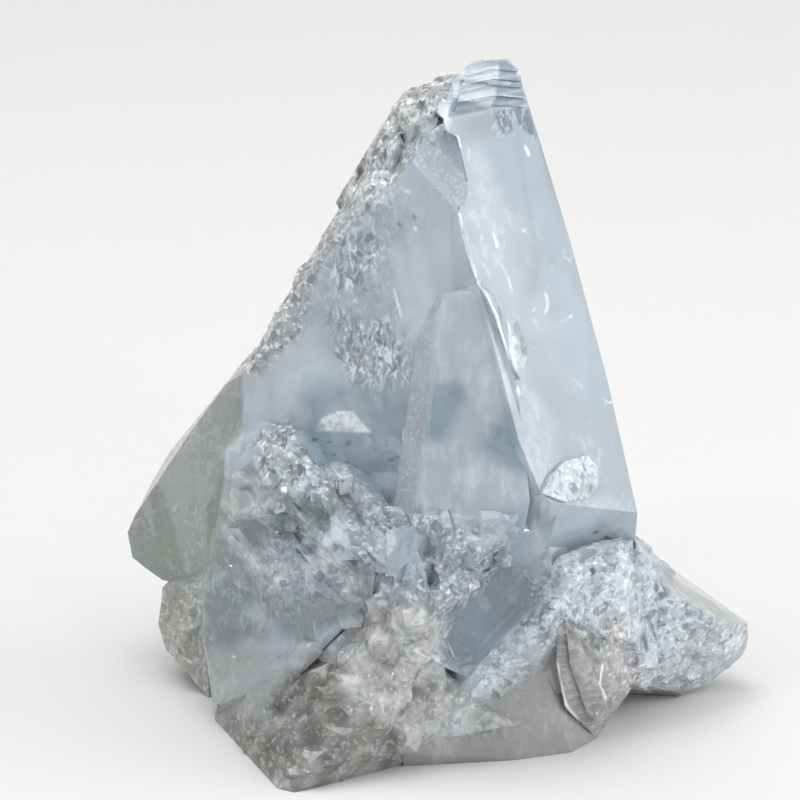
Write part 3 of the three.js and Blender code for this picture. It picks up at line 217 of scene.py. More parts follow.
# The parts of the front: a look, how soft its border is, and its outline.
FRONT_PARTS = [
    (SILVERY, 0.1, [
        (3.4, 22.5), (7.4, 23.2), (10.4, 23.5), (11.6, 20.8), (19.2, -6.4), (19.4, -9.8),
        (18.1, -9), (16.6, -7.8), (12.1, -8.4), (11.3, -7.7), (9.5, -3.2), (9.1, 0), (9.5, 1.3),
        (8.6, 3.3), (6.6, 9), (4.7, 15), (5.4, 17.6), (4.6, 21),
    ]),
    (BLUE, 0.9, [
        (8.4, 22.8), (11.6, 23.2), (16, 8), (20, -6.4), (20, -9.6), (16.5, -6.4), (14.8, -1.6),
        (12.8, 2.4), (10.4, 12), (9.2, 16.8),
    ]),
    (SHADE, 0.8, [(5.6, 22.7), (11.6, 23.2), (12.8, 16.8), (9.6, 14.8), (6.7, 18.4)]),
    (SILK, 0.8, [
        (5, 20), (6.4, 19.2), (8, 16), (8.6, 11.2), (12.8, 5.6), (10.4, 4.4), (8.8, 6.4), (6.9, 9),
        (5.3, 14), (5.6, 16.8),
    ]),
    (SILK, 0.7, [
        (9, 2), (10.4, 1.2), (12.2, -1.6), (12.8, -4.8), (11.6, -8), (10.4, -5.6), (9.3, -2.4),
    ]),
    (CAP, 0.1, [
        (3.2, 22.4), (3.8, 24.6), (4.4, 26.4), (5.8, 27.6), (8.8, 27.6), (9.9, 26.7), (10.6, 23.4),
        (7.3, 23.1),
    ]),
    (CLEAR, 0.1, [
        (1, 19), (2.6, 16.9), (4.7, 15), (6.6, 9), (9.5, 1.3), (10.4, -8.4), (-0.4, -8.8),
        (-8, -5.6), (-12.3, -3.2), (-12.6, 2.2), (-10.7, 3), (-7.7, 5.6), (-6.2, 11), (-3.5, 14.2),
        (-0.6, 17.3),
    ]),
    (PALE, 0.8, [
        (-12.3, -3.2), (-12.6, 2.2), (-10, 4.4), (-7.2, 7.2), (-6.2, 5.6), (-4.4, 2.2), (-5.6, 0),
        (-8.8, -2.4),
    ]),
    (VEILED, 0.7, [
        (-4.8, 13.4), (-3.2, 15), (-0.6, 16.8), (1, 15.6), (1.6, 13.4), (0.3, 11), (0, 8),
        (0.8, 4.8), (0.6, 1.4), (-1.2, -0.2), (-3.8, 1), (-4.8, 3), (-5.6, 5.6), (-5.8, 8),
        (-5.6, 11),
    ]),
    (MILKY, 1.0, [
        (0.6, 14), (3.2, 13.2), (4.2, 10.4), (3.5, 8.6), (1.9, 5.6), (0.3, 3.2), (-0.2, 8),
    ]),
    (DEEP, 1.0, [
        (-8.2, 1), (-4.8, 1.9), (0.3, 0.3), (0.6, -1.6), (0, -6.2), (-4.8, -6.2), (-7.4, -4.2),
    ]),
    (MATT, 0.1, [(1.9, 21), (5, 18), (5.4, 17), (4.7, 15), (2.6, 16.9), (1, 19)]),
    (NECK, 0.1, [(2.4, 21.6), (4.1, 22.3), (4.6, 21), (5.4, 17.5), (5, 18)]),
    (MILKY, 0.1, [
        (3.2, 8.5), (4.4, 9.1), (6, 9.3), (6.6, 8.6), (8.6, 3.5), (9.3, 1.4), (9.9, -3.2),
        (10.4, -9.6), (-0.6, -9.6), (0, -5.1), (0.9, 1.7), (1.4, 4.9), (2.5, 7.5),
    ]),
    (DEEP, 0.3, [(2.1, 1.3), (5.3, 1.4), (5.6, -1), (4, -3.2), (1.6, -3.2)]),
    (DEEP, 0.4, [(6.2, -3.2), (8.5, -0.3), (9.1, -0.3), (9.6, -2.4), (9.9, -6.4), (8, -5.6)]),
    (MILKY, 0.2, [
        (2.6, -4.6), (4.2, -1.9), (5.6, 0.6), (8.4, 1.8), (9.4, 0.6), (8.6, -0.3), (6.6, -2.9),
        (4.6, -5),
    ]),
    (MATT, 0.15, [
        (3.2, 8.3), (2.6, 7.5), (1.4, 4.9), (0.9, 1.7), (0.3, -2.4), (-0.6, -9.6), (1, -9.6),
        (2.1, -1.6), (3, 7.2),
    ]),
    # The crevice under the rim crust: milky crystal with painted light over its shade.
    (MILKY_AND_PAINTED_LIGHT, 0.2, [(1, 22.4), (2.6, 23.5), (4, 23.5), (4, 22.2), (2.6, 21.3), (1.1, 21.3)]),
    (RIM, 0.5, [
        (4.4, 26.6), (3.5, 23.4), (1.4, 22.4), (0.8, 19.2), (-0.6, 16.8), (-2.6, 14.4),
        (-5.6, 12.8), (-6.4, 16.8), (-3.2, 22.4), (0, 26.4),
    ]),
    (GLITTER, 0.4, [
        (-3.2, 14.8), (-6.2, 11), (-7, 8), (-7.8, 4.8), (-11, 2.4), (-13.2, 2), (-13.6, 4.8),
        (-8.8, 12.8), (-5.2, 16.8),
    ]),
    (BLOCK, 0.3, [
        (-16, -11.2), (-12.8, -9.6), (-8, -9.6), (-2.2, -11.2), (-1.9, -15.7), (-6.3, -20.1),
        (-11, -24.6), (-14.9, -25.8), (-16.2, -19.2),
    ]),
    (MILKY, 0.3, [(-14.2, -5.6), (-13.9, -2.9), (-12, -2.4), (-11.8, -5)]),
    (PLATE, 0.25, [
        (-14.6, -5.3), (-11.5, -5.1), (-8, -5.6), (-7.7, -7.2), (-10.2, -7.7), (-10.7, -8.5),
        (-13.1, -9.3), (-14.7, -8.6),
    ]),
    (KNOBS, 0.4, [
        (-11.8, -3.2), (-11, -1.9), (-8.5, -1.9), (-7.2, -5), (-4, -5.6), (-3, -8), (-6.4, -7.8),
        (-7.5, -6.9), (-11, -6.9),
    ]),
    (ROUGH, 0.4, [(-4, -5.9), (-0.6, -8), (-0.3, -12.8), (-2.2, -14.4), (-3.5, -11.2), (-3, -8.8)]),
    (DIM, 0.5, [
        (-10.6, -7.7), (-7.2, -7.3), (-5, -8.6), (-5.6, -10.7), (-8.8, -11.4), (-10.9, -10.4),
    ]),
    (ROUGH, 0.6, [
        (-11, -11.8), (-8, -11.2), (-3.5, -12.2), (-2.9, -15.4), (-6.4, -16), (-10.4, -15.2),
    ]),
    (LIP, 0.4, [(-15.6, -20), (-11, -19.7), (-6, -19.8), (-8, -21.8), (-11, -25), (-15.2, -25.9)]),
    (ROUGH, 0.7, [
        (-1.6, -8.8), (10.4, -8.6), (9.6, -11.8), (3.8, -16.5), (3.7, -20), (-1.6, -19.2),
    ]),
    (MILKY, 0.5, [(2.4, -5.6), (5.6, -4.8), (10.4, -6.4), (11.2, -8.5), (8, -10.4), (3.2, -9.9)]),
    (BAND, 0.2, [(-1.1, -10.4), (1.9, -10.1), (1.9, -13.9), (-1, -14.1)]),
    (PALE_ROCK, 0.6, [
        (-2.2, -15.7), (3.2, -16), (3.7, -20), (6.1, -23.2), (9.6, -26), (4, -27.5), (0, -28.2),
        (-3.8, -24), (-5.6, -20.8),
    ]),
    (ROCK, 0.5, [
        (-15.2, -25.8), (-11, -24.3), (-6.3, -20.1), (-3.8, -23.2), (0, -27.2), (0.8, -29.4),
        (-8.5, -32), (-16, -28.8),
    ]),
    (SLAB, 0.2, [
        (0, -29.6), (0.8, -28), (4.2, -27.2), (9.2, -26.1), (6.1, -24.6), (8, -24), (12.5, -19.2),
        (13.3, -24.6), (16, -27.4), (12.8, -28.8),
    ]),
    (BAND, 0.4, [(4.2, -21.1), (6.4, -21.1), (8.2, -22.6), (7, -24.2), (5.4, -23.4)]),
    (LENS, 0.2, [(3.2, -25.3), (6.1, -24.5), (9.2, -25.9), (4, -27), (1.6, -27.5), (0, -27)]),
    (BAND, 0.2, [
        (8, -8.5), (11.6, -8), (12.1, -8.2), (13.4, -8.2), (16.8, -7.5), (19, -9.1), (18.2, -10.9),
        (15, -11.2), (12.8, -12.5), (10.6, -15.4), (9, -13),
    ]),
    (SPLINTERED, 0.2, [
        (10.4, -15.4), (12.6, -12.6), (15.1, -11.6), (17.6, -11.2), (18.4, -12.8), (18.6, -16),
        (16, -17), (10.6, -17.8),
    ]),
    (LOBE, 0.6, [
        (10.6, -17.4), (16, -17), (18.9, -16), (19.2, -19.2), (16, -19.2), (12.8, -19.2),
        (8, -23.2), (6.1, -24), (5.6, -20.8), (10.2, -16.4),
    ]),
    (BROWNISH, 0.5, [(15.2, -17.8), (18.7, -17), (19.2, -22.6), (17, -24.3), (15.7, -20)]),
    (ROUGH, 0.2, [
        (3.2, -19.2), (4, -16.8), (9, -12.5), (10.6, -13.6), (10.9, -15.8), (5.8, -21.4),
        (4, -21.1),
    ]),
    (WEDGE, 0.1, [
        (12.6, -18.2), (14.2, -18.4), (16.2, -20.5), (17, -22.7), (16.5, -25), (15.8, -27.4),
        (13.1, -24.8), (12.3, -20.8),
    ]),
    (LOBE, 0.2, [
        (18.9, -11.2), (20.8, -13.2), (21.1, -14.7), (25.1, -17.3), (28, -17.6), (28, -20),
        (24.4, -23.2), (19.2, -23.4),
    ]),
    (LOBE_TOP, 0.1, [
        (20.4, -13.1), (22.5, -13.8), (28, -17.4), (27.8, -17.9), (25.1, -17.4), (22.3, -15.8),
        (21, -14.7),
    ]),
    (GREENISH, 0.2, [
        (-12.6, 2.2), (-14.4, 1.6), (-22.4, -9.6), (-22, -13.6), (-19, -14.7), (-15.6, -14.7),
        (-14.2, -9.2), (-14.1, -4.1), (-12.6, -2.6),
    ]),
    (YELLOWISH, 0.3, [
        (-15.6, -14.7), (-19.2, -14.6), (-20, -17.6), (-19.2, -20.8), (-16, -24), (-15, -24),
        (-15.7, -19.2),
    ]),
]

# Crisp markings: a look and an outline.
PATCHES = [
    # The narrow bevel along the window's lower right: painted light, pale where the bevel lies in
    # shade.
    (BAND, [
        (10.2, -15.7), (11, -16.2), (8.5, -18.7), (6.4, -21.1), (5.1, -21.1), (6.1, -20),
        (8.6, -17.3),
    ]),
    (WINDOW, [
        (3.7, -19), (4.2, -18.2), (4.4, -17), (5.3, -16.6), (5.5, -15.8), (6.2, -15.8), (7, -15.2),
        (7.2, -14.2), (8, -13.3), (9.2, -13.6), (10.1, -14.4), (10.4, -15.5), (10.2, -16.1),
        (8.6, -17.4), (7.2, -18.7), (6, -20.2), (5.1, -20.9), (4.2, -20.6),
    ]),
    (BAND, [(6.2, -15.8), (7, -15.7), (7.3, -16.5), (7, -17.1), (6.4, -16.6)]),
    (CAP_DARK, [(7.9, 27), (9.1, 26.7), (9.8, 25), (10.1, 23.6), (7.4, 23.4), (7.8, 25.3)]),
    (ETCHED, [(7.4, 23.2), (9, 23.3), (9, 21.5), (8.2, 21.2), (7.8, 21.8)]),
    (ETCHED, [(9, 23.4), (10, 23.7), (10.5, 22.6), (11, 20.7), (10.1, 21.4), (9.5, 21.9)]),
    (CAP_DARK, [(3.8, 22.6), (4.2, 24.1), (5.8, 23.8), (7.2, 23.3)]),
    (CAP_LIGHT, [
        (4.3, 25.1), (5, 25.3), (7.6, 25), (7.7, 24.1), (7.2, 23.7), (5.6, 23.9), (4.2, 24.2),
    ]),
    (CAP_LIGHT, [(5, 26.4), (6.4, 26.7), (7.9, 26.7), (7.9, 25.4), (6.2, 25.6), (4.6, 25.7)]),
    (CAP_DARK, [(5.9, 27.1), (8.5, 27.2), (9, 26.6), (7.8, 26.9)]),
    (CHIP_AND_GLINT, [(8.6, 6.7), (9.3, 6.4), (10.1, 4.6), (10.2, 3.5), (9.9, 2.6), (9.2, 2.4), (8.7, 4)]),
    (FLAKE, [
        (11.3, -7.5), (11.8, -6.1), (13, -4.9), (14.9, -4.4), (15.8, -5.3), (15.8, -6.6),
        (15, -7.8), (13.1, -8.2),
    ]),
    (HAZE, [(-6.6, -1.9), (-5.6, -0.3), (-3.4, 1), (-2.6, -0.5), (-2.2, -2.4)]),
    # The bright trapezoid: a painted reflection off an inner cleavage plane.
    (PAINTED_REFLECTION, [(-6.8, -2.5), (-6.3, -1.5), (-5.1, -0.9), (-3.8, -0.9), (-2.3, -2.6)]),
    (VEIN, [(-1.1, -10.2), (-0.5, -10.1), (-0.3, -11.8), (-1, -12.5)]),
    (MILKY, [(5.1, -10.9), (7, -10.6), (8.3, -10.9), (7.2, -11.8), (5.8, -11.4)]),
]

# Crisp fine marks: a look, a width and a line.
# Glints, and the white chips on the bright face, are painted glints.
STROKES = [
    (GLINT, 0.20, [(7.4, 13.4), (7.7, 12.7), (7.8, 12.2)]),
    (CHIP_AND_GLINT, 0.12, [(6.5, 13.4), (6.6, 12.8)]),
    (CHIP_AND_GLINT, 0.20, [(11.6, 8.6), (11.8, 8), (11.8, 7.4), (11.6, 6.9)]),
    (CHIP_AND_GLINT, 0.14, [(10.6, 7), (10.8, 7.4)]),
    (GLINT, 0.12, [(9.8, 13.7), (10, 13.4)]),
    (CHIP_AND_GLINT, 0.14, [(12.8, 6.2), (13.4, 6.5), (13.8, 6.8)]),
    (CHIP_AND_GLINT, 0.16, [(10.4, 4.1), (11, 4.2)]),
    (CHIP_AND_GLINT, 0.14, [(16.3, 0.1), (16.6, -0.2), (17, -0.2)]),
    (CHIP_AND_GLINT, 0.12, [(13.9, 1.7), (14.6, 1)]),
    (CHIP_AND_GLINT, 0.12, [(13, 11.5), (13.7, 11.1)]),
    (CHIP_AND_GLINT, 0.12, [(8, 11), (8.6, 9.9), (9, 8.6)]),
    (CHIP_AND_GLINT, 0.12, [(6.6, 11), (7.2, 9.9)]),
    (GLINT, 0.16, [(10, 20.3), (10.2, 19.9), (10.3, 19.5)]),
    (CHIP_AND_GLINT, 0.16, [(5.5, 20.2), (5.5, 19.1)]),
    (GLINT, 0.16, [(4.6, 21.2), (4.9, 20.1)]),
    (GLINT, 0.14, [(4.7, 15), (5, 13.4), (5.4, 11.8), (6.1, 9.8)]),
    (GLINT, 0.14, [(6.2, 9.4), (7, 8.3), (7.8, 6.6), (8.4, 4.4), (8.8, 2.7), (9.2, 1.7)]),
    (CAP_DARK, 0.12, [(6.6, 9.1), (7.4, 8.5), (7.9, 7.4), (8.2, 5.6)]),
    (GLINT, 0.22, [(9.4, 1.1), (9.5, 0.3)]),
    (CAP_DARK, 0.20, [(4.6, 25.4), (6.4, 25.4), (7.8, 25.1)]),
    (CHIP_AND_GLINT, 0.12, [(8, 25.4), (9.5, 25.3)]),
    (CHIP_AND_GLINT, 0.12, [(8.2, 24.4), (9.9, 24.2)]),
    (GLINT, 0.16, [(-0.5, 9), (-0.2, 7.8), (0.1, 6.6)]),
    (CHIP_AND_GLINT, 0.12, [(-6.4, 10.9), (-5.6, 10.4)]),
    (GLINT, 0.20, [(-3.8, 7.8), (-3.4, 8.1)]),
    (BROWN, 0.10, [(-5.2, 3.8), (-4.5, 3.1)]),
    (BROWN, 0.10, [(-3.8, 3.7), (-3.4, 2.7)]),
    (BROWN, 0.12, [(-3, 3.8), (-2.6, 1.9)]),
    (BROWN, 0.10, [(-2.4, 4), (-1.8, 2.7)]),
    (BROWN, 0.08, [(-2.1, 3.5), (-2.3, 2.1)]),
    (SPECK, 0.20, [(-3.8, 17.8), (-3.7, 17.8)]),
    (SPECK, 0.20, [(-3.8, 17.3), (-3.6, 17.2)]),
    (SPECK, 0.16, [(-4.9, 16.9), (-4.6, 17)]),
    (SPECK, 0.14, [(-4.2, 17.9), (-4.3, 17.7)]),
    (SPECK, 0.16, [(-2.6, 16.8), (-2.3, 16.6)]),
    (SPECK, 0.18, [(1, 14.9), (1.3, 14.4)]),
    (SPECK, 0.16, [(-0.2, 14.2), (0.2, 13.8)]),
    (GLINT, 0.24, [(1.1, 13.9), (1.4, 13.4)]),
    (GLINT, 0.16, [(0.3, 16.8), (0.8, 16.6)]),
    (GLINT, 0.36, [(-13.4, -20.5), (-13.2, -20.6)]),
    (GLINT, 0.30, [(-10.8, -5), (-10.6, -6.2)]),
    (SPECK, 0.14, [(3.9, -8.8), (4.2, -9.7), (4.4, -10.5)]),
    (VEIN, 0.20, [(9.8, -10.7), (10.6, -10.6), (10.9, -10.2)]),
    (SPECK, 0.22, [(6.6, -13.8), (7.4, -13.4)]),
    (SPECK, 0.22, [(15.4, -10.7), (16, -10.5)]),
    (SPECK, 0.20, [(16.3, -10.9), (17, -11.2)]),
    (GLINT, 0.14, [(12.6, -21), (12.8, -22.4), (13.3, -24.4), (14.4, -25.8)]),
    (GLINT, 0.14, [(16.2, -21.1), (16, -22.7), (16.5, -24)]),
    (GLINT, 0.24, [(15.4, -25), (15.8, -25.1)]),
    (SPECK, 0.20, [(18.4, -23), (18.7, -22.7)]),
    (SPECK, 0.16, [(17.1, -19), (17.4, -19.3)]),
    (SPECK, 0.20, [(18.9, -12.8), (19.5, -13.3)]),
]

# Veins with soft, ragged borders: a look, a width and a line.
VEINS = [
    (PALE, 1.0, [(1, 12.8), (1.6, 10.4), (1.9, 8), (1.6, 5.6)]),
    (PALE, 0.7, [(3.2, 13.1), (3.8, 11), (3.7, 9.3)]),
    (PALE, 0.6, [(-0.3, 12), (0.3, 9.2), (0.6, 6.4)]),
    (PALE, 0.5, [(-0.2, 16.3), (1, 15.5), (1.6, 14.7)]),
    (VEIN, 0.4, [(-12.3, -6.6), (-10.6, -6.5), (-9, -7), (-7.4, -6.9)]),
    (VEIN, 0.4, [
        (-14.2, -8.7), (-13, -9.1), (-12, -8.5), (-10.6, -8.4), (-10.2, -7.8), (-9.2, -7.2),
        (-7.5, -7.3),
    ]),
    (VEIN, 0.4, [(-11, -9.2), (-10.8, -10.2), (-10.2, -11.2), (-9.3, -11.5)]),
    (VEIN, 0.6, [(-7.2, -6.6), (-6.2, -5.8), (-4.8, -5.8), (-3.9, -6.9), (-3.8, -7.8)]),
    (VEIN, 0.4, [(-8.8, -3.8), (-7.8, -4.4), (-7.5, -5.3)]),
    (VEIN, 0.8, [(-13.5, -10.7), (-12.8, -11.8), (-11.8, -12.8), (-11.3, -13.4)]),
    (CHIP_AND_GLINT, 0.9, [(-7.4, -12.8), (-6.2, -12.1), (-5.3, -11), (-4.7, -9.8)]),
    (CHIP_AND_GLINT, 0.7, [(-7, -13), (-5.4, -12.9), (-4, -12.3), (-4.4, -11.2)]),
    (CHIP_AND_GLINT, 0.6, [(-8.8, -11.9), (-8, -11.3), (-7.5, -11.2)]),
    (VEIN, 0.5, [(-10.3, -13.9), (-9.8, -13.3), (-9.4, -13.9), (-9.9, -14.6)]),
    (VEIN, 0.6, [(-9.1, -13.6), (-8, -13.9), (-6.6, -13.4), (-5, -13.9), (-4, -14.4)]),
    (MILKY, 0.7, [(-12.5, -16.8), (-11, -17.4), (-9.9, -18.4), (-9.6, -19.4)]),
    (MILKY, 0.6, [(-12.8, -19.5), (-9.6, -19.7), (-7, -19.5), (-4.8, -18.1), (-3.5, -17.6)]),
    (MILKY, 0.6, [(-14.7, -22.9), (-12.8, -22.6), (-10.6, -21.4), (-8, -21)]),
    (VEIN, 0.25, [(10.9, -9.9), (11.2, -11.6), (11.6, -13)]),
    (VEIN, 0.3, [(10.2, -13), (10.6, -14.8)]),
    (VEIN, 0.8, [(-1.9, -10.6), (-1.3, -11.6), (-1.6, -12.5)]),
    (BROWN, 0.24, [(13.7, -18.5), (14.3, -19.2), (15, -20), (16, -21)]),
    (BROWN, 0.16, [(13.4, -19.2), (13.8, -21.1), (14.5, -23), (15, -24.3), (15.7, -25.3)]),
    (VEIN, 0.5, [(3.2, -20.5), (3.8, -21.4), (4.3, -22.4)]),
    (VEIN, 0.5, [(-0.3, -18.1), (0.6, -20.2), (1.6, -21.4)]),
    (ROCK, 0.6, [(1.2, -23.4), (0.6, -24.3), (0, -25.1)]),
    (VEIN, 0.6, [(4.2, -26.4), (4.5, -25.4), (5.3, -24.5)]),
    (CHIP_AND_GLINT, 0.8, [(17.9, -14.4), (17.8, -15.7), (18.2, -17)]),
    (CHIP_AND_GLINT, 0.8, [(18.9, -17.8), (19.4, -18.4)]),
]


def speck_strokes():
    """Short dark specks that lie level inside the twin crystal."""
    low = np.array([-7.7, -5.8])
    wide = np.array([7.4, 3.0])
    strokes = []
    for k in range(SPECKS):
        draw = [scatter(np.array([k, axis, 0]), SPECK_SEED) for axis in range(3)]
        start = low + wide * draw[:2]
        run = (0.5 * draw[2] + 0.1, 0.1 - 0.2 * draw[0])
        strokes.append((SPECK, 0.09 + 0.07 * draw[2], [start, start + run]))
    return strokes


def eye_axes():
    """The camera's place, and its right, up and backward directions."""
    right = Vector((1, 0, 0))
    up = Vector((0, math.sin(EYE_ELEVATION), math.cos(EYE_ELEVATION)))
    back = Vector((0, -math.cos(EYE_ELEVATION), math.sin(EYE_ELEVATION)))
    return AIM + back * EYE_DISTANCE, right, up, back


def add_camera():
    """The camera, at the photograph's viewing angle."""
    eye, _, _, _ = eye_axes()
    data = bpy.data.cameras.new("camera")
    data.sensor_width = SENSOR
    data.lens = SENSOR / 2 * EYE_DISTANCE / HALF_VIEW
    camera = bpy.data.objects.new("camera", data)
    camera.location = eye
    camera.rotation_euler = (math.pi / 2 - EYE_ELEVATION, 0, 0)
    bpy.context.collection.objects.link(camera)
    bpy.context.scene.camera = camera


def as_drawn(points):
    """Where points lie in the camera's drawing, in millimetres."""
    eye, right, up, back = (np.array(v) for v in eye_axes())
    away = points - eye
    depth = -(away @ back)
    return np.stack([away @ right, away @ up], 1) / depth[:, None] * EYE_DISTANCE / MM


def gap_to_line(drawn, line):
    """How far drawn points lie from a line of points."""
    nearest = np.full(len(drawn), np.inf)
    corners = np.array(line)
    for a, b in zip(corners[:-1], corners[1:]):
        edge = b - a
        along = np.clip((drawn - a) @ edge / (edge @ edge), 0, 1)
        gap = drawn - a - along[:, None] * edge
        nearest = np.minimum(nearest, np.hypot(gap[:, 0], gap[:, 1]))
    return nearest


def closed(outline):
    """An outline as a line that comes back to its start."""
    return [*outline, outline[0]]


def depth_inside(drawn, outline):
    """How far drawn points lie inside an outline, in millimetres."""
    inside = np.zeros(len(drawn), bool)
    corners = np.array(closed(outline))
    for a, b in zip(corners[:-1], corners[1:]):
        crosses = (a[1] > drawn[:, 1]) != (b[1] > drawn[:, 1])
        rise = b[1] - a[1] if b[1] != a[1] else 1.0
        side = (b[0] - a[0]) * (drawn[:, 1] - a[1]) / rise + a[0]
        inside ^= crosses & (drawn[:, 0] < side)
    gap = gap_to_line(drawn, closed(outline))
    return np.where(inside, gap, -gap)


def near_outline(drawn, outline, reach):
    """Which drawn points lie in the box around an outline."""
    low = np.min(outline, 0) - reach
    high = np.max(outline, 0) + reach
    return (drawn > low).all(1) & (drawn < high).all(1)


def scatter(cells, seed):
    """A repeatable random number from 0 to 1 for each lattice cell."""
    mixed = cells[..., 0] * 73856093 ^ cells[..., 1] * 19349663 ^ cells[..., 2] * 83492791
    mixed = (mixed + seed * 2654435761) & 0xFFFFFFFF
    for _ in range(2):
        mixed = ((mixed ^ (mixed >> 16)) * 0x45D9F3B) & 0xFFFFFFFF
    return (mixed & 0xFFFFFF) / float(0x1000000)


def soft_noise(points, width, seed):
    """Smooth noise from -1 to 1 whose features are about `width` wide."""
    place = points / width
    cell = np.floor(place).astype(np.int64)
    share = place - cell
    share = share * share * (3 - 2 * share)
    total = np.zeros(len(points))
    for corner in np.ndindex(2, 2, 2):
        weight = np.prod(np.where(corner, share, 1 - share), 1)
        total += weight * scatter(cell + np.array(corner), seed)
    return 2 * total - 1


def facets(points, width, seed):
    """A surface broken into leaning flats: its heights, and the way to each flat's middle."""
    place = points / width
    cell = np.floor(place).astype(np.int64)
    best = np.full(len(points), np.inf)
    height = np.zeros(len(points))
    for offset in np.ndindex(3, 3, 3):
        home = cell + np.array(offset) - 1
        centre = home + np.stack([scatter(home, seed + k) for k in range(3)], 1)
        away = place - centre
        gap = (away * away).sum(1)
        lean = np.stack([scatter(home, seed + 3 + k) for k in range(3)], 1) - 0.5
        level = scatter(home, seed + 6) + (away * lean).sum(1)
        closer = gap < best
        best = np.where(closer, gap, best)
        height = np.where(closer, level, height)
    return height, np.sqrt(best)


def welded_copy(source):
    """The CAD surface with its corners joined and its flats made whole."""
    mesh = bmesh.new()
    mesh.from_mesh(source.data)
    bmesh.ops.remove_doubles(mesh, verts=mesh.verts, dist=WELD)
    bmesh.ops.dissolve_degenerate(mesh, edges=mesh.edges, dist=WELD)
    bmesh.ops.dissolve_limit(
        mesh, angle_limit=FLAT_ANGLE, verts=mesh.verts, edges=mesh.edges
    )
    return mesh


def blunt(mesh, flat, worn):
    """Takes the sharpness off the long edges between crystal faces."""
    sharp = []
    for edge in mesh.edges:
        large = len(edge.link_faces) == 2 and min(f[flat] for f in edge.link_faces) > FACE_AREA
        if not large or edge.calc_length() <= LEAST_BLUNTED:
            continue
        if edge.calc_face_angle_signed() > SHARP_ANGLE:
            sharp.append(edge)
    made = bmesh.ops.bevel(
        mesh, geom=sharp, offset=BLUNT_EDGE, segments=1, affect="EDGES", clamp_overlap=True
    )
    for face in made["faces"]:
        face[worn] = 1.0


def divide(mesh, flat):
    """Splits long edges until each is short enough for its place."""
    to_eye = eye_axes()[3]
    marks = [(closed(outline), 0.0) for _, outline in PATCHES]
    marks += [(line, width / 2) for _, width, line in STROKES + speck_strokes()]
    bmesh.ops.triangulate(mesh, faces=mesh.faces)
    for _ in range(DIVISIONS):
        edges = list(mesh.edges)
        length = np.array([edge.calc_length() for edge in edges])
        middle = np.array([(edge.verts[0].co + edge.verts[1].co) / 2 for edge in edges])
        front = np.array(
            [any(f.normal.dot(to_eye) > FACING for f in edge.link_faces) for edge in edges]
        )
        smooth = np.array([min(f[flat] for f in edge.link_faces) > FACE_AREA for edge in edges])
        limit = np.where(
            smooth,
            np.where(front, FRONT_FACE, OTHER_FACE),
            np.where(front, FRONT_CRUST, OTHER_CRUST),
        )
        drawn = as_drawn(middle)
        half = length / 2 / MM
        for line, width in marks:
            near = np.nonzero(front & (length > MARKING) & near_outline(drawn, line, 1.0))[0]
            reach = width + np.minimum(half[near], MARKING_REACH) + 0.1
            close = gap_to_line(drawn[near], line) < reach
            limit[near[close]] = MARKING
        split = [edge for edge, long in zip(edges, length > limit) if long]
        if not split:
            break
        bmesh.ops.subdivide_edges(mesh, edges=split, cuts=1)
        bmesh.ops.triangulate(mesh, faces=[f for f in mesh.faces if len(f.verts) > 3])


def with_clouds(looks, centres):
    """Lays clouds, patches of frost and the rock's rounded grains over the looks."""
    column = {layer: 3 + k for k, layer in enumerate(LAYERS)}
    cloud = soft_noise(centres, 4 * MM, 21) + 0.5 * soft_noise(centres, 1.7 * MM, 22)
    looks[:, :3] *= 1 + 0.08 * cloud[:, None]
    patch = 0.5 + 0.22 * soft_noise(centres, 2.4 * MM, 23)
    patch += 0.12 * soft_noise(centres, 1.1 * MM, 24)
    looks[:, column["frost"]] += patch
    looks[:, column["veil"]] *= np.clip((patch - 0.42) / 0.12, 0, 1)
    looks[:, column["flakes"]] *= np.clip(2 * patch, 0.5, 1.5)
    wander = np.stack([soft_noise(centres, 1.2 * MM, 25 + k) for k in range(3)], 1)
    tone, away = facets(centres + 0.5 * MM * wander, 2.1 * MM, 28)
    grains = looks[:, column["grains"]]
    border = np.clip((away - 0.45) / 0.3, 0, 1) * grains
    looks[:, :3] *= 1 + (grains * (0.6 * tone - 0.35))[:, None]
    looks[:, :3] += (0.3 * border)[:, None] * (np.array(WHITE[:3]) - looks[:, :3])
    return looks


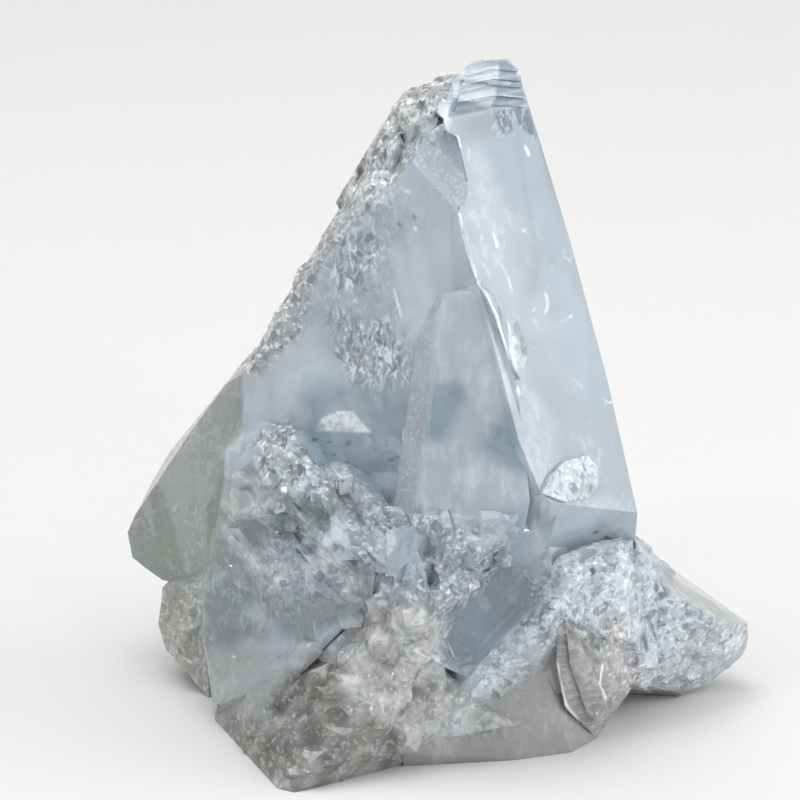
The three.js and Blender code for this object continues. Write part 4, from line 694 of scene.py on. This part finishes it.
def looks_of(centres, normals, flats, worn, names):
    """The look of each face of the divided surface."""
    crusty = np.clip((FACE_AREA - flats) / (FACE_AREA - CRUST_AREA), 0, 1)[:, None]
    looks = CLEAR * (1 - crusty) + CRUST * crusty
    hue = scatter(np.stack([names, names * 7, names * 13], 1), 3)[:, None]
    looks[:, :3] *= 0.88 + 0.2 * hue
    stain_top = 8 * MM + 2 * MM * soft_noise(centres, 3 * MM, 4)
    low = np.clip((stain_top - centres[:, 2]) / (4 * MM), 0, 1)
    looks += low[:, None] * (ROCK - looks) * 0.8
    drawn = as_drawn(centres)
    wander = np.stack([soft_noise(centres, 1.3 * MM, 5), soft_noise(centres, 1.3 * MM, 6)], 1)
    ragged = soft_noise(centres, 0.6 * MM, 8)
    front = normals @ np.array(eye_axes()[3]) > FACING
    for part, softness, outline in FRONT_PARTS:
        near = np.nonzero(front & near_outline(drawn, outline, 2 * softness))[0]
        inside = depth_inside(drawn[near] + wander[near] * softness, outline)
        share = np.clip(inside / (2 * softness) + 0.5, 0, 1)
        looks[near] += share[:, None] * (part - looks[near])
    for part, outline in PATCHES:
        near = np.nonzero(front & near_outline(drawn, outline, 0.2))[0]
        share = np.clip(depth_inside(drawn[near], outline) / 0.1 + 0.5, 0, 1)
        looks[near] += share[:, None] * (part - looks[near])
    for part, width, line in STROKES + speck_strokes():
        near = np.nonzero(front & near_outline(drawn, line, width))[0]
        ends = np.hypot(*(drawn[near, None] - np.array([line[0], line[-1]])).T).min(0)
        half = width / 2 * np.clip(ends / width, 0.3, 1) + 0.05 * ragged[near]
        share = np.clip((half - gap_to_line(drawn[near], line)) / 0.08 + 0.5, 0, 1)
        looks[near] += share[:, None] * (part - looks[near])
    for part, width, line in VEINS:
        near = np.nonzero(front & near_outline(drawn, line, 2 * width))[0]
        gap = gap_to_line(drawn[near] + 0.3 * wander[near], line)
        share = np.clip(1 - gap / width + 0.4 * ragged[near], 0, 1)
        looks[near] += share[:, None] * (part - looks[near])
    looks += worn[:, None] * (WORN - looks) * 0.7
    return with_clouds(looks, centres)


def shared_at_corners(looks, corners, names):
    """The looks at each face corner, shared by the faces of the same flat."""
    keys = corners.astype(np.int64) * (names.max() + 1) + names[:, None]
    _, places = np.unique(keys.ravel(), return_inverse=True)
    places = places.ravel()
    counts = np.bincount(places)
    spread = np.repeat(looks, 3, 0)
    shared = [np.bincount(places, spread[:, k]) / counts for k in range(looks.shape[1])]
    return np.stack(shared, 1)[places]


def give_grain(mesh, looks, corners):
    """Breaks the grainy parts of the surface into small leaning facets."""
    grain = np.full(len(mesh.verts), np.inf)
    for k in range(3):
        np.minimum.at(grain, corners[:, k], looks[:, 3 + LAYERS.index("grain")])
    points = np.array([v.co for v in mesh.verts])
    outward = np.array([v.normal for v in mesh.verts])
    lift = sum(
        height * (facets(points, width, 11 + round(width / MM * 10))[0] - 0.5)
        for width, height in (COARSE_GRAIN, FINE_GRAIN)
    )
    grounded = np.clip(points[:, 2] / (0.5 * MM), 0, 1)
    low, high = points.min(0), points.max(0)
    points = np.clip(points + outward * (grain * lift * grounded)[:, None], low, high)
    for vert, point in zip(mesh.verts, points):
        vert.co = point


def refined(source):
    """The cluster's surface, finely divided, grained and with its looks."""
    mesh = welded_copy(source)
    flat = mesh.faces.layers.float.new("flat")
    worn = mesh.faces.layers.float.new("worn")
    name = mesh.faces.layers.int.new("name")
    for face in mesh.faces:
        face[flat] = face.calc_area() / MM / MM
    blunt(mesh, flat, worn)
    for count, face in enumerate(mesh.faces):
        face[name] = count
    divide(mesh, flat)
    mesh.normal_update()
    mesh.verts.index_update()
    faces = list(mesh.faces)
    corners = np.array([[v.index for v in face.verts] for face in faces])
    names = np.array([face[name] for face in faces])
    looks = looks_of(
        np.array([face.calc_center_median() for face in faces]),
        np.array([face.normal for face in faces]),
        np.array([face[flat] for face in faces]),
        np.array([face[worn] for face in faces]),
        names,
    )
    give_grain(mesh, looks, corners)
    mesh.faces.layers.float.remove(worn)
    mesh.faces.layers.float.remove(mesh.faces.layers.float["flat"])
    mesh.faces.layers.int.remove(mesh.faces.layers.int["name"])
    data = bpy.data.meshes.new("celestite_surface")
    mesh.to_mesh(data)
    mesh.free()
    looks = shared_at_corners(looks, corners, names).astype(np.float32)
    tint = data.attributes.new("tint", "FLOAT_COLOR", "CORNER")
    tint.data.foreach_set("color", np.insert(looks[:, :3], 3, 1, 1).ravel())
    for k, layer in enumerate(LAYERS):
        if layer in MESH_ONLY:
            continue
        values = data.attributes.new(layer, "FLOAT", "CORNER")
        values.data.foreach_set("value", looks[:, 3 + k].copy())
    surface = bpy.data.objects.new("celestite_surface", data)
    bpy.context.collection.objects.link(surface)
    return surface


class Graph:
    """A short way to write a material's nodes."""

    def __init__(self, tree):
        self.tree = tree

    def node(self, kind, inputs=None, **settings):
        made = self.tree.nodes.new(kind)
        for key, value in settings.items():
            setattr(made, key, value)
        for key, value in (inputs or {}).items():
            self.feed(made.inputs[key], value)
        return made

    def feed(self, socket, value):
        if isinstance(value, bpy.types.NodeSocket):
            self.tree.links.new(value, socket)
        else:
            socket.default_value = value

    def attribute(self, name):
        return self.node("ShaderNodeAttribute", attribute_name=name)

    def math(self, operation, a, b=0.0, clamp=False):
        made = self.node("ShaderNodeMath", {0: a, 1: b}, operation=operation, use_clamp=clamp)
        return made.outputs[0]

    def vector(self, operation, a, b=None, scale=None):
        made = self.node("ShaderNodeVectorMath", {0: a}, operation=operation)
        if b is not None:
            self.feed(made.inputs[1], b)
        if scale is not None:
            self.feed(made.inputs["Scale"], scale)
        return made.outputs["Value"] if operation == "DOT_PRODUCT" else made.outputs[0]

    def ramp(self, value, low, high, to_low=0.0, to_high=1.0):
        made = self.node(
            "ShaderNodeMapRange",
            {"Value": value, "From Min": low, "From Max": high, "To Min": to_low, "To Max": to_high},
        )
        return made.outputs["Result"]

    def blend(self, share, a, b):
        made = self.node("ShaderNodeMix", data_type="RGBA")
        self.feed(made.inputs[0], share)
        self.feed(made.inputs[6], a)
        self.feed(made.inputs[7], b)
        return made.outputs[2]

    def noise(self, place, scale, detail=3.0, distortion=0.0):
        return self.node(
            "ShaderNodeTexNoise",
            {"Vector": place, "Scale": scale, "Detail": detail, "Distortion": distortion},
        ).outputs[0]

    def stretched(self, place, scale):
        return self.node("ShaderNodeMapping", {"Vector": place, "Scale": scale}).outputs[0]

    def largest(self, *values):
        most = values[0]
        for value in values[1:]:
            most = self.math("MAXIMUM", most, value)
        return most

    def cells(self, place, scale, feature="F1"):
        return self.node("ShaderNodeTexVoronoi", {"Vector": place, "Scale": scale}, feature=feature)


def celestite_material():
    """See-through crystal whose clarity, frost and tints follow the surface's looks."""
    material = bpy.data.materials.new("celestite")
    material.use_nodes = True
    g = Graph(material.node_tree)
    shader = material.node_tree.nodes["Principled BSDF"]
    output = material.node_tree.nodes["Material Output"]
    place = g.node("ShaderNodeTexCoord").outputs["Object"]
    value = {layer: g.attribute(layer).outputs["Fac"] for layer in LAYERS if layer not in MESH_ONLY}
    stray = g.node("ShaderNodeTexNoise", {"Vector": place, "Scale": 1100.0, "Detail": 1.0})
    warped = g.vector("ADD", place, g.vector("SCALE", stray.outputs["Color"], scale=0.5 * MM))

    # Frost lies in streaks that follow the crystals' length.
    streaks = g.noise(g.stretched(warped, (1.0, 1.0, 0.3)), 1300, 4.0)
    rime = g.math("ADD", g.math("MULTIPLY", streaks, 0.55), g.math("MULTIPLY", value["frost"], 0.45))
    frosted = g.ramp(rime, 0.62, 0.90)

    # The flakes of the broken parts lean each its own way, and glitter.
    # Some flakes are painted white as glints, and some are painted dark as shade.
    cells = g.cells(warped, 1300)
    sparks = g.cells(warped, 3200)
    spark, spark_tone = g.node("ShaderNodeSeparateColor", {0: sparks.outputs["Color"]}).outputs[:2]
    tone = g.node("ShaderNodeSeparateColor", {0: cells.outputs["Color"]}).outputs[0]
    lit = g.math("MULTIPLY", g.ramp(spark, 0.80, 0.86), value["flakes"])
    dull = g.largest(g.ramp(spark, 0.18, 0.12), g.ramp(tone, 0.16, 0.08))
    unlit = g.math("MULTIPLY", dull, value["flakes"])
    uneven = g.math("MULTIPLY", g.ramp(tone, 0.0, 1.0, -0.18, 0.18), value["flakes"])
    shade = g.math("ADD", 1.0, uneven)

    # Feathery veils: slivers, dark and pale, that lean one way.
    slanted = g.node(
        "ShaderNodeMapping", {"Vector": warped, "Rotation": (0.4, 0.7, 0.5), "Scale": (1.0, 1.0, 0.45)}
    ).outputs[0]
    slivers = g.noise(slanted, 1700, 3.0, 1.4)
    feather_dark = g.math("MULTIPLY", g.ramp(slivers, 0.48, 0.42), value["veil"])
    feather_pale = g.math("MULTIPLY", g.ramp(slivers, 0.56, 0.62), value["veil"])

    # Growth lines run nearly level, and pebbly frost stands on the matt faces.
    level = g.vector("DOT_PRODUCT", place, (0.08, 0.0, 1.0))
    ripples = g.node(
        "ShaderNodeTexNoise", {"W": level, "Scale": 2600.0, "Detail": 3.0}, noise_dimensions="1D"
    ).outputs[0]
    line_pale = g.math("MULTIPLY", g.ramp(ripples, 0.52, 0.62), value["lines"])
    line_dark = g.math("MULTIPLY", g.ramp(ripples, 0.46, 0.38), value["lines"])
    pebble = g.math("MULTIPLY", g.ramp(sparks.outputs["Distance"], 0.55, 0.25), value["pebble"])
    pebble = g.math("MULTIPLY", pebble, spark_tone)

    colour = g.vector("SCALE", g.attribute("tint").outputs["Color"], scale=shade)
    dark = g.math("MINIMUM", g.largest(unlit, feather_dark, line_dark), 1.5)
    white = g.math("MINIMUM", g.largest(frosted, lit, feather_pale, line_pale, pebble), 1.5)
    colour = g.blend(g.math("MULTIPLY", dark, 0.55), colour, DARK)
    colour = g.blend(g.math("MULTIPLY", white, 0.55), colour, WHITE)
    g.feed(shader.inputs["Base Color"], colour)
    opaque = g.math("MAXIMUM", g.math("MULTIPLY", white, 0.65), g.math("MULTIPLY", dark, 0.5))
    clear = g.math("MULTIPLY", value["clarity"], g.math("SUBTRACT", 1.0, opaque))
    g.feed(shader.inputs["Transmission Weight"], clear)
    rough = g.math("ADD", value["roughness"], g.math("MULTIPLY", frosted, 0.15))
    g.feed(shader.inputs["Roughness"], rough)
    shader.inputs["IOR"].default_value = IOR
    shader.inputs["Subsurface Weight"].default_value = SUBSURFACE
    shader.inputs["Subsurface Radius"].default_value = SUBSURFACE_RADIUS
    shader.inputs["Subsurface Scale"].default_value = SUBSURFACE_SCALE

    lean = g.vector("SUBTRACT", cells.outputs["Color"], (0.5, 0.5, 0.5))
    lean = g.vector("SCALE", lean, scale=g.math("MULTIPLY", value["flakes"], 0.6))
    normal = g.vector("ADD", g.node("ShaderNodeNewGeometry").outputs["Normal"], lean)
    normal = g.vector("NORMALIZE", normal)
    relief = g.noise(place, 700, 2.0)
    bump = g.node(
        "ShaderNodeBump", {"Height": relief, "Strength": 0.35, "Distance": 0.05 * MM, "Normal": normal}
    )
    g.feed(shader.inputs["Normal"], bump.outputs[0])

    absorption = g.node(
        "ShaderNodeVolumeAbsorption", {"Color": ABSORPTION, "Density": ABSORPTION_DENSITY}
    )
    g.feed(output.inputs["Volume"], absorption.outputs[0])
    return material


def plain_material(name, colour, roughness):
    """An even, solid material."""
    material = bpy.data.materials.new(name)
    material.use_nodes = True
    shader = material.node_tree.nodes["Principled BSDF"]
    shader.inputs["Base Color"].default_value = colour
    shader.inputs["Roughness"].default_value = roughness
    return material


def add_floor():
    """A pale floor that sweeps up into a pale wall behind."""
    profile = [(FLOOR_FRONT, 0.0), (FLOOR_BACK, 0.0)]
    for turn in np.linspace(0.1, math.pi / 2, 12):
        profile.append((FLOOR_BACK + SWEEP * math.sin(turn), SWEEP - SWEEP * math.cos(turn)))
    profile.append((FLOOR_BACK + SWEEP, WALL))
    points = [(x, y, z) for y, z in profile for x in (-FLOOR_HALF, FLOOR_HALF)]
    faces = [(2 * k, 2 * k + 1, 2 * k + 3, 2 * k + 2) for k in range(len(profile) - 1)]
    data = bpy.data.meshes.new("floor")
    data.from_pydata(points, [], faces)
    for face in data.polygons:
        face.use_smooth = True
    floor = bpy.data.objects.new("floor", data)
    floor.data.materials.append(plain_material("floor", FLOOR_COLOUR, 0.7))
    bpy.context.collection.objects.link(floor)


def add_light(name, place, size, power):
    """A soft white panel that faces the cluster."""
    data = bpy.data.lights.new(name, "AREA")
    data.shape = "RECTANGLE"
    data.size, data.size_y = size
    data.energy = power
    light = bpy.data.objects.new(name, data)
    light.location = place
    towards = Vector(place) - LIT_POINT
    light.rotation_euler = towards.to_track_quat("Z", "Y").to_euler()
    bpy.context.collection.objects.link(light)


def add_world():
    """Soft daylight: brightest above and to the right, dim behind the camera."""
    world = bpy.data.worlds.new("studio")
    world.use_nodes = True
    g = Graph(world.node_tree)
    background = world.node_tree.nodes["Background"]
    direction = g.node("ShaderNodeTexCoord").outputs["Generated"]
    above = g.ramp(g.vector("DOT_PRODUCT", direction, (0.25, 0.1, 0.96)), -0.2, 0.9, 0.22, 0.95)
    g.feed(background.inputs["Strength"], above)
    background.inputs["Color"].default_value = (0.93, 0.96, 1.0, 1)
    bpy.context.scene.world = world


def add_lights():
    """Soft daylight, two broad panels and two small ones that glint."""
    add_world()
    add_light("right", (0.42, -0.04, 0.14), (0.30, 0.30), 0.8)
    add_light("above", (-0.08, 0.02, 0.42), (0.3, 0.3), 0.8)
    add_light("left_pane", (-0.30, -0.25, 0.30), (0.05, 0.07), 0.14)
    add_light("right_pane", (0.22, -0.38, 0.24), (0.05, 0.05), 0.12)


def main():
    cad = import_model()
    add_camera()
    surface = refined(cad["nodes"][NODE])
    surface.data.materials.append(celestite_material())
    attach(surface, "root")
    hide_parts(NODE)
    add_floor()
    add_lights()
    bpy.context.scene.view_settings.view_transform = "Standard"
    cycles = bpy.context.scene.cycles
    cycles.max_bounces = BOUNCES
    cycles.transmission_bounces = BOUNCES
    cycles.caustics_reflective = False
    cycles.caustics_refractive = False
    bpy.context.view_layer.update()
    print("triangles", len(surface.data.polygons))


main()
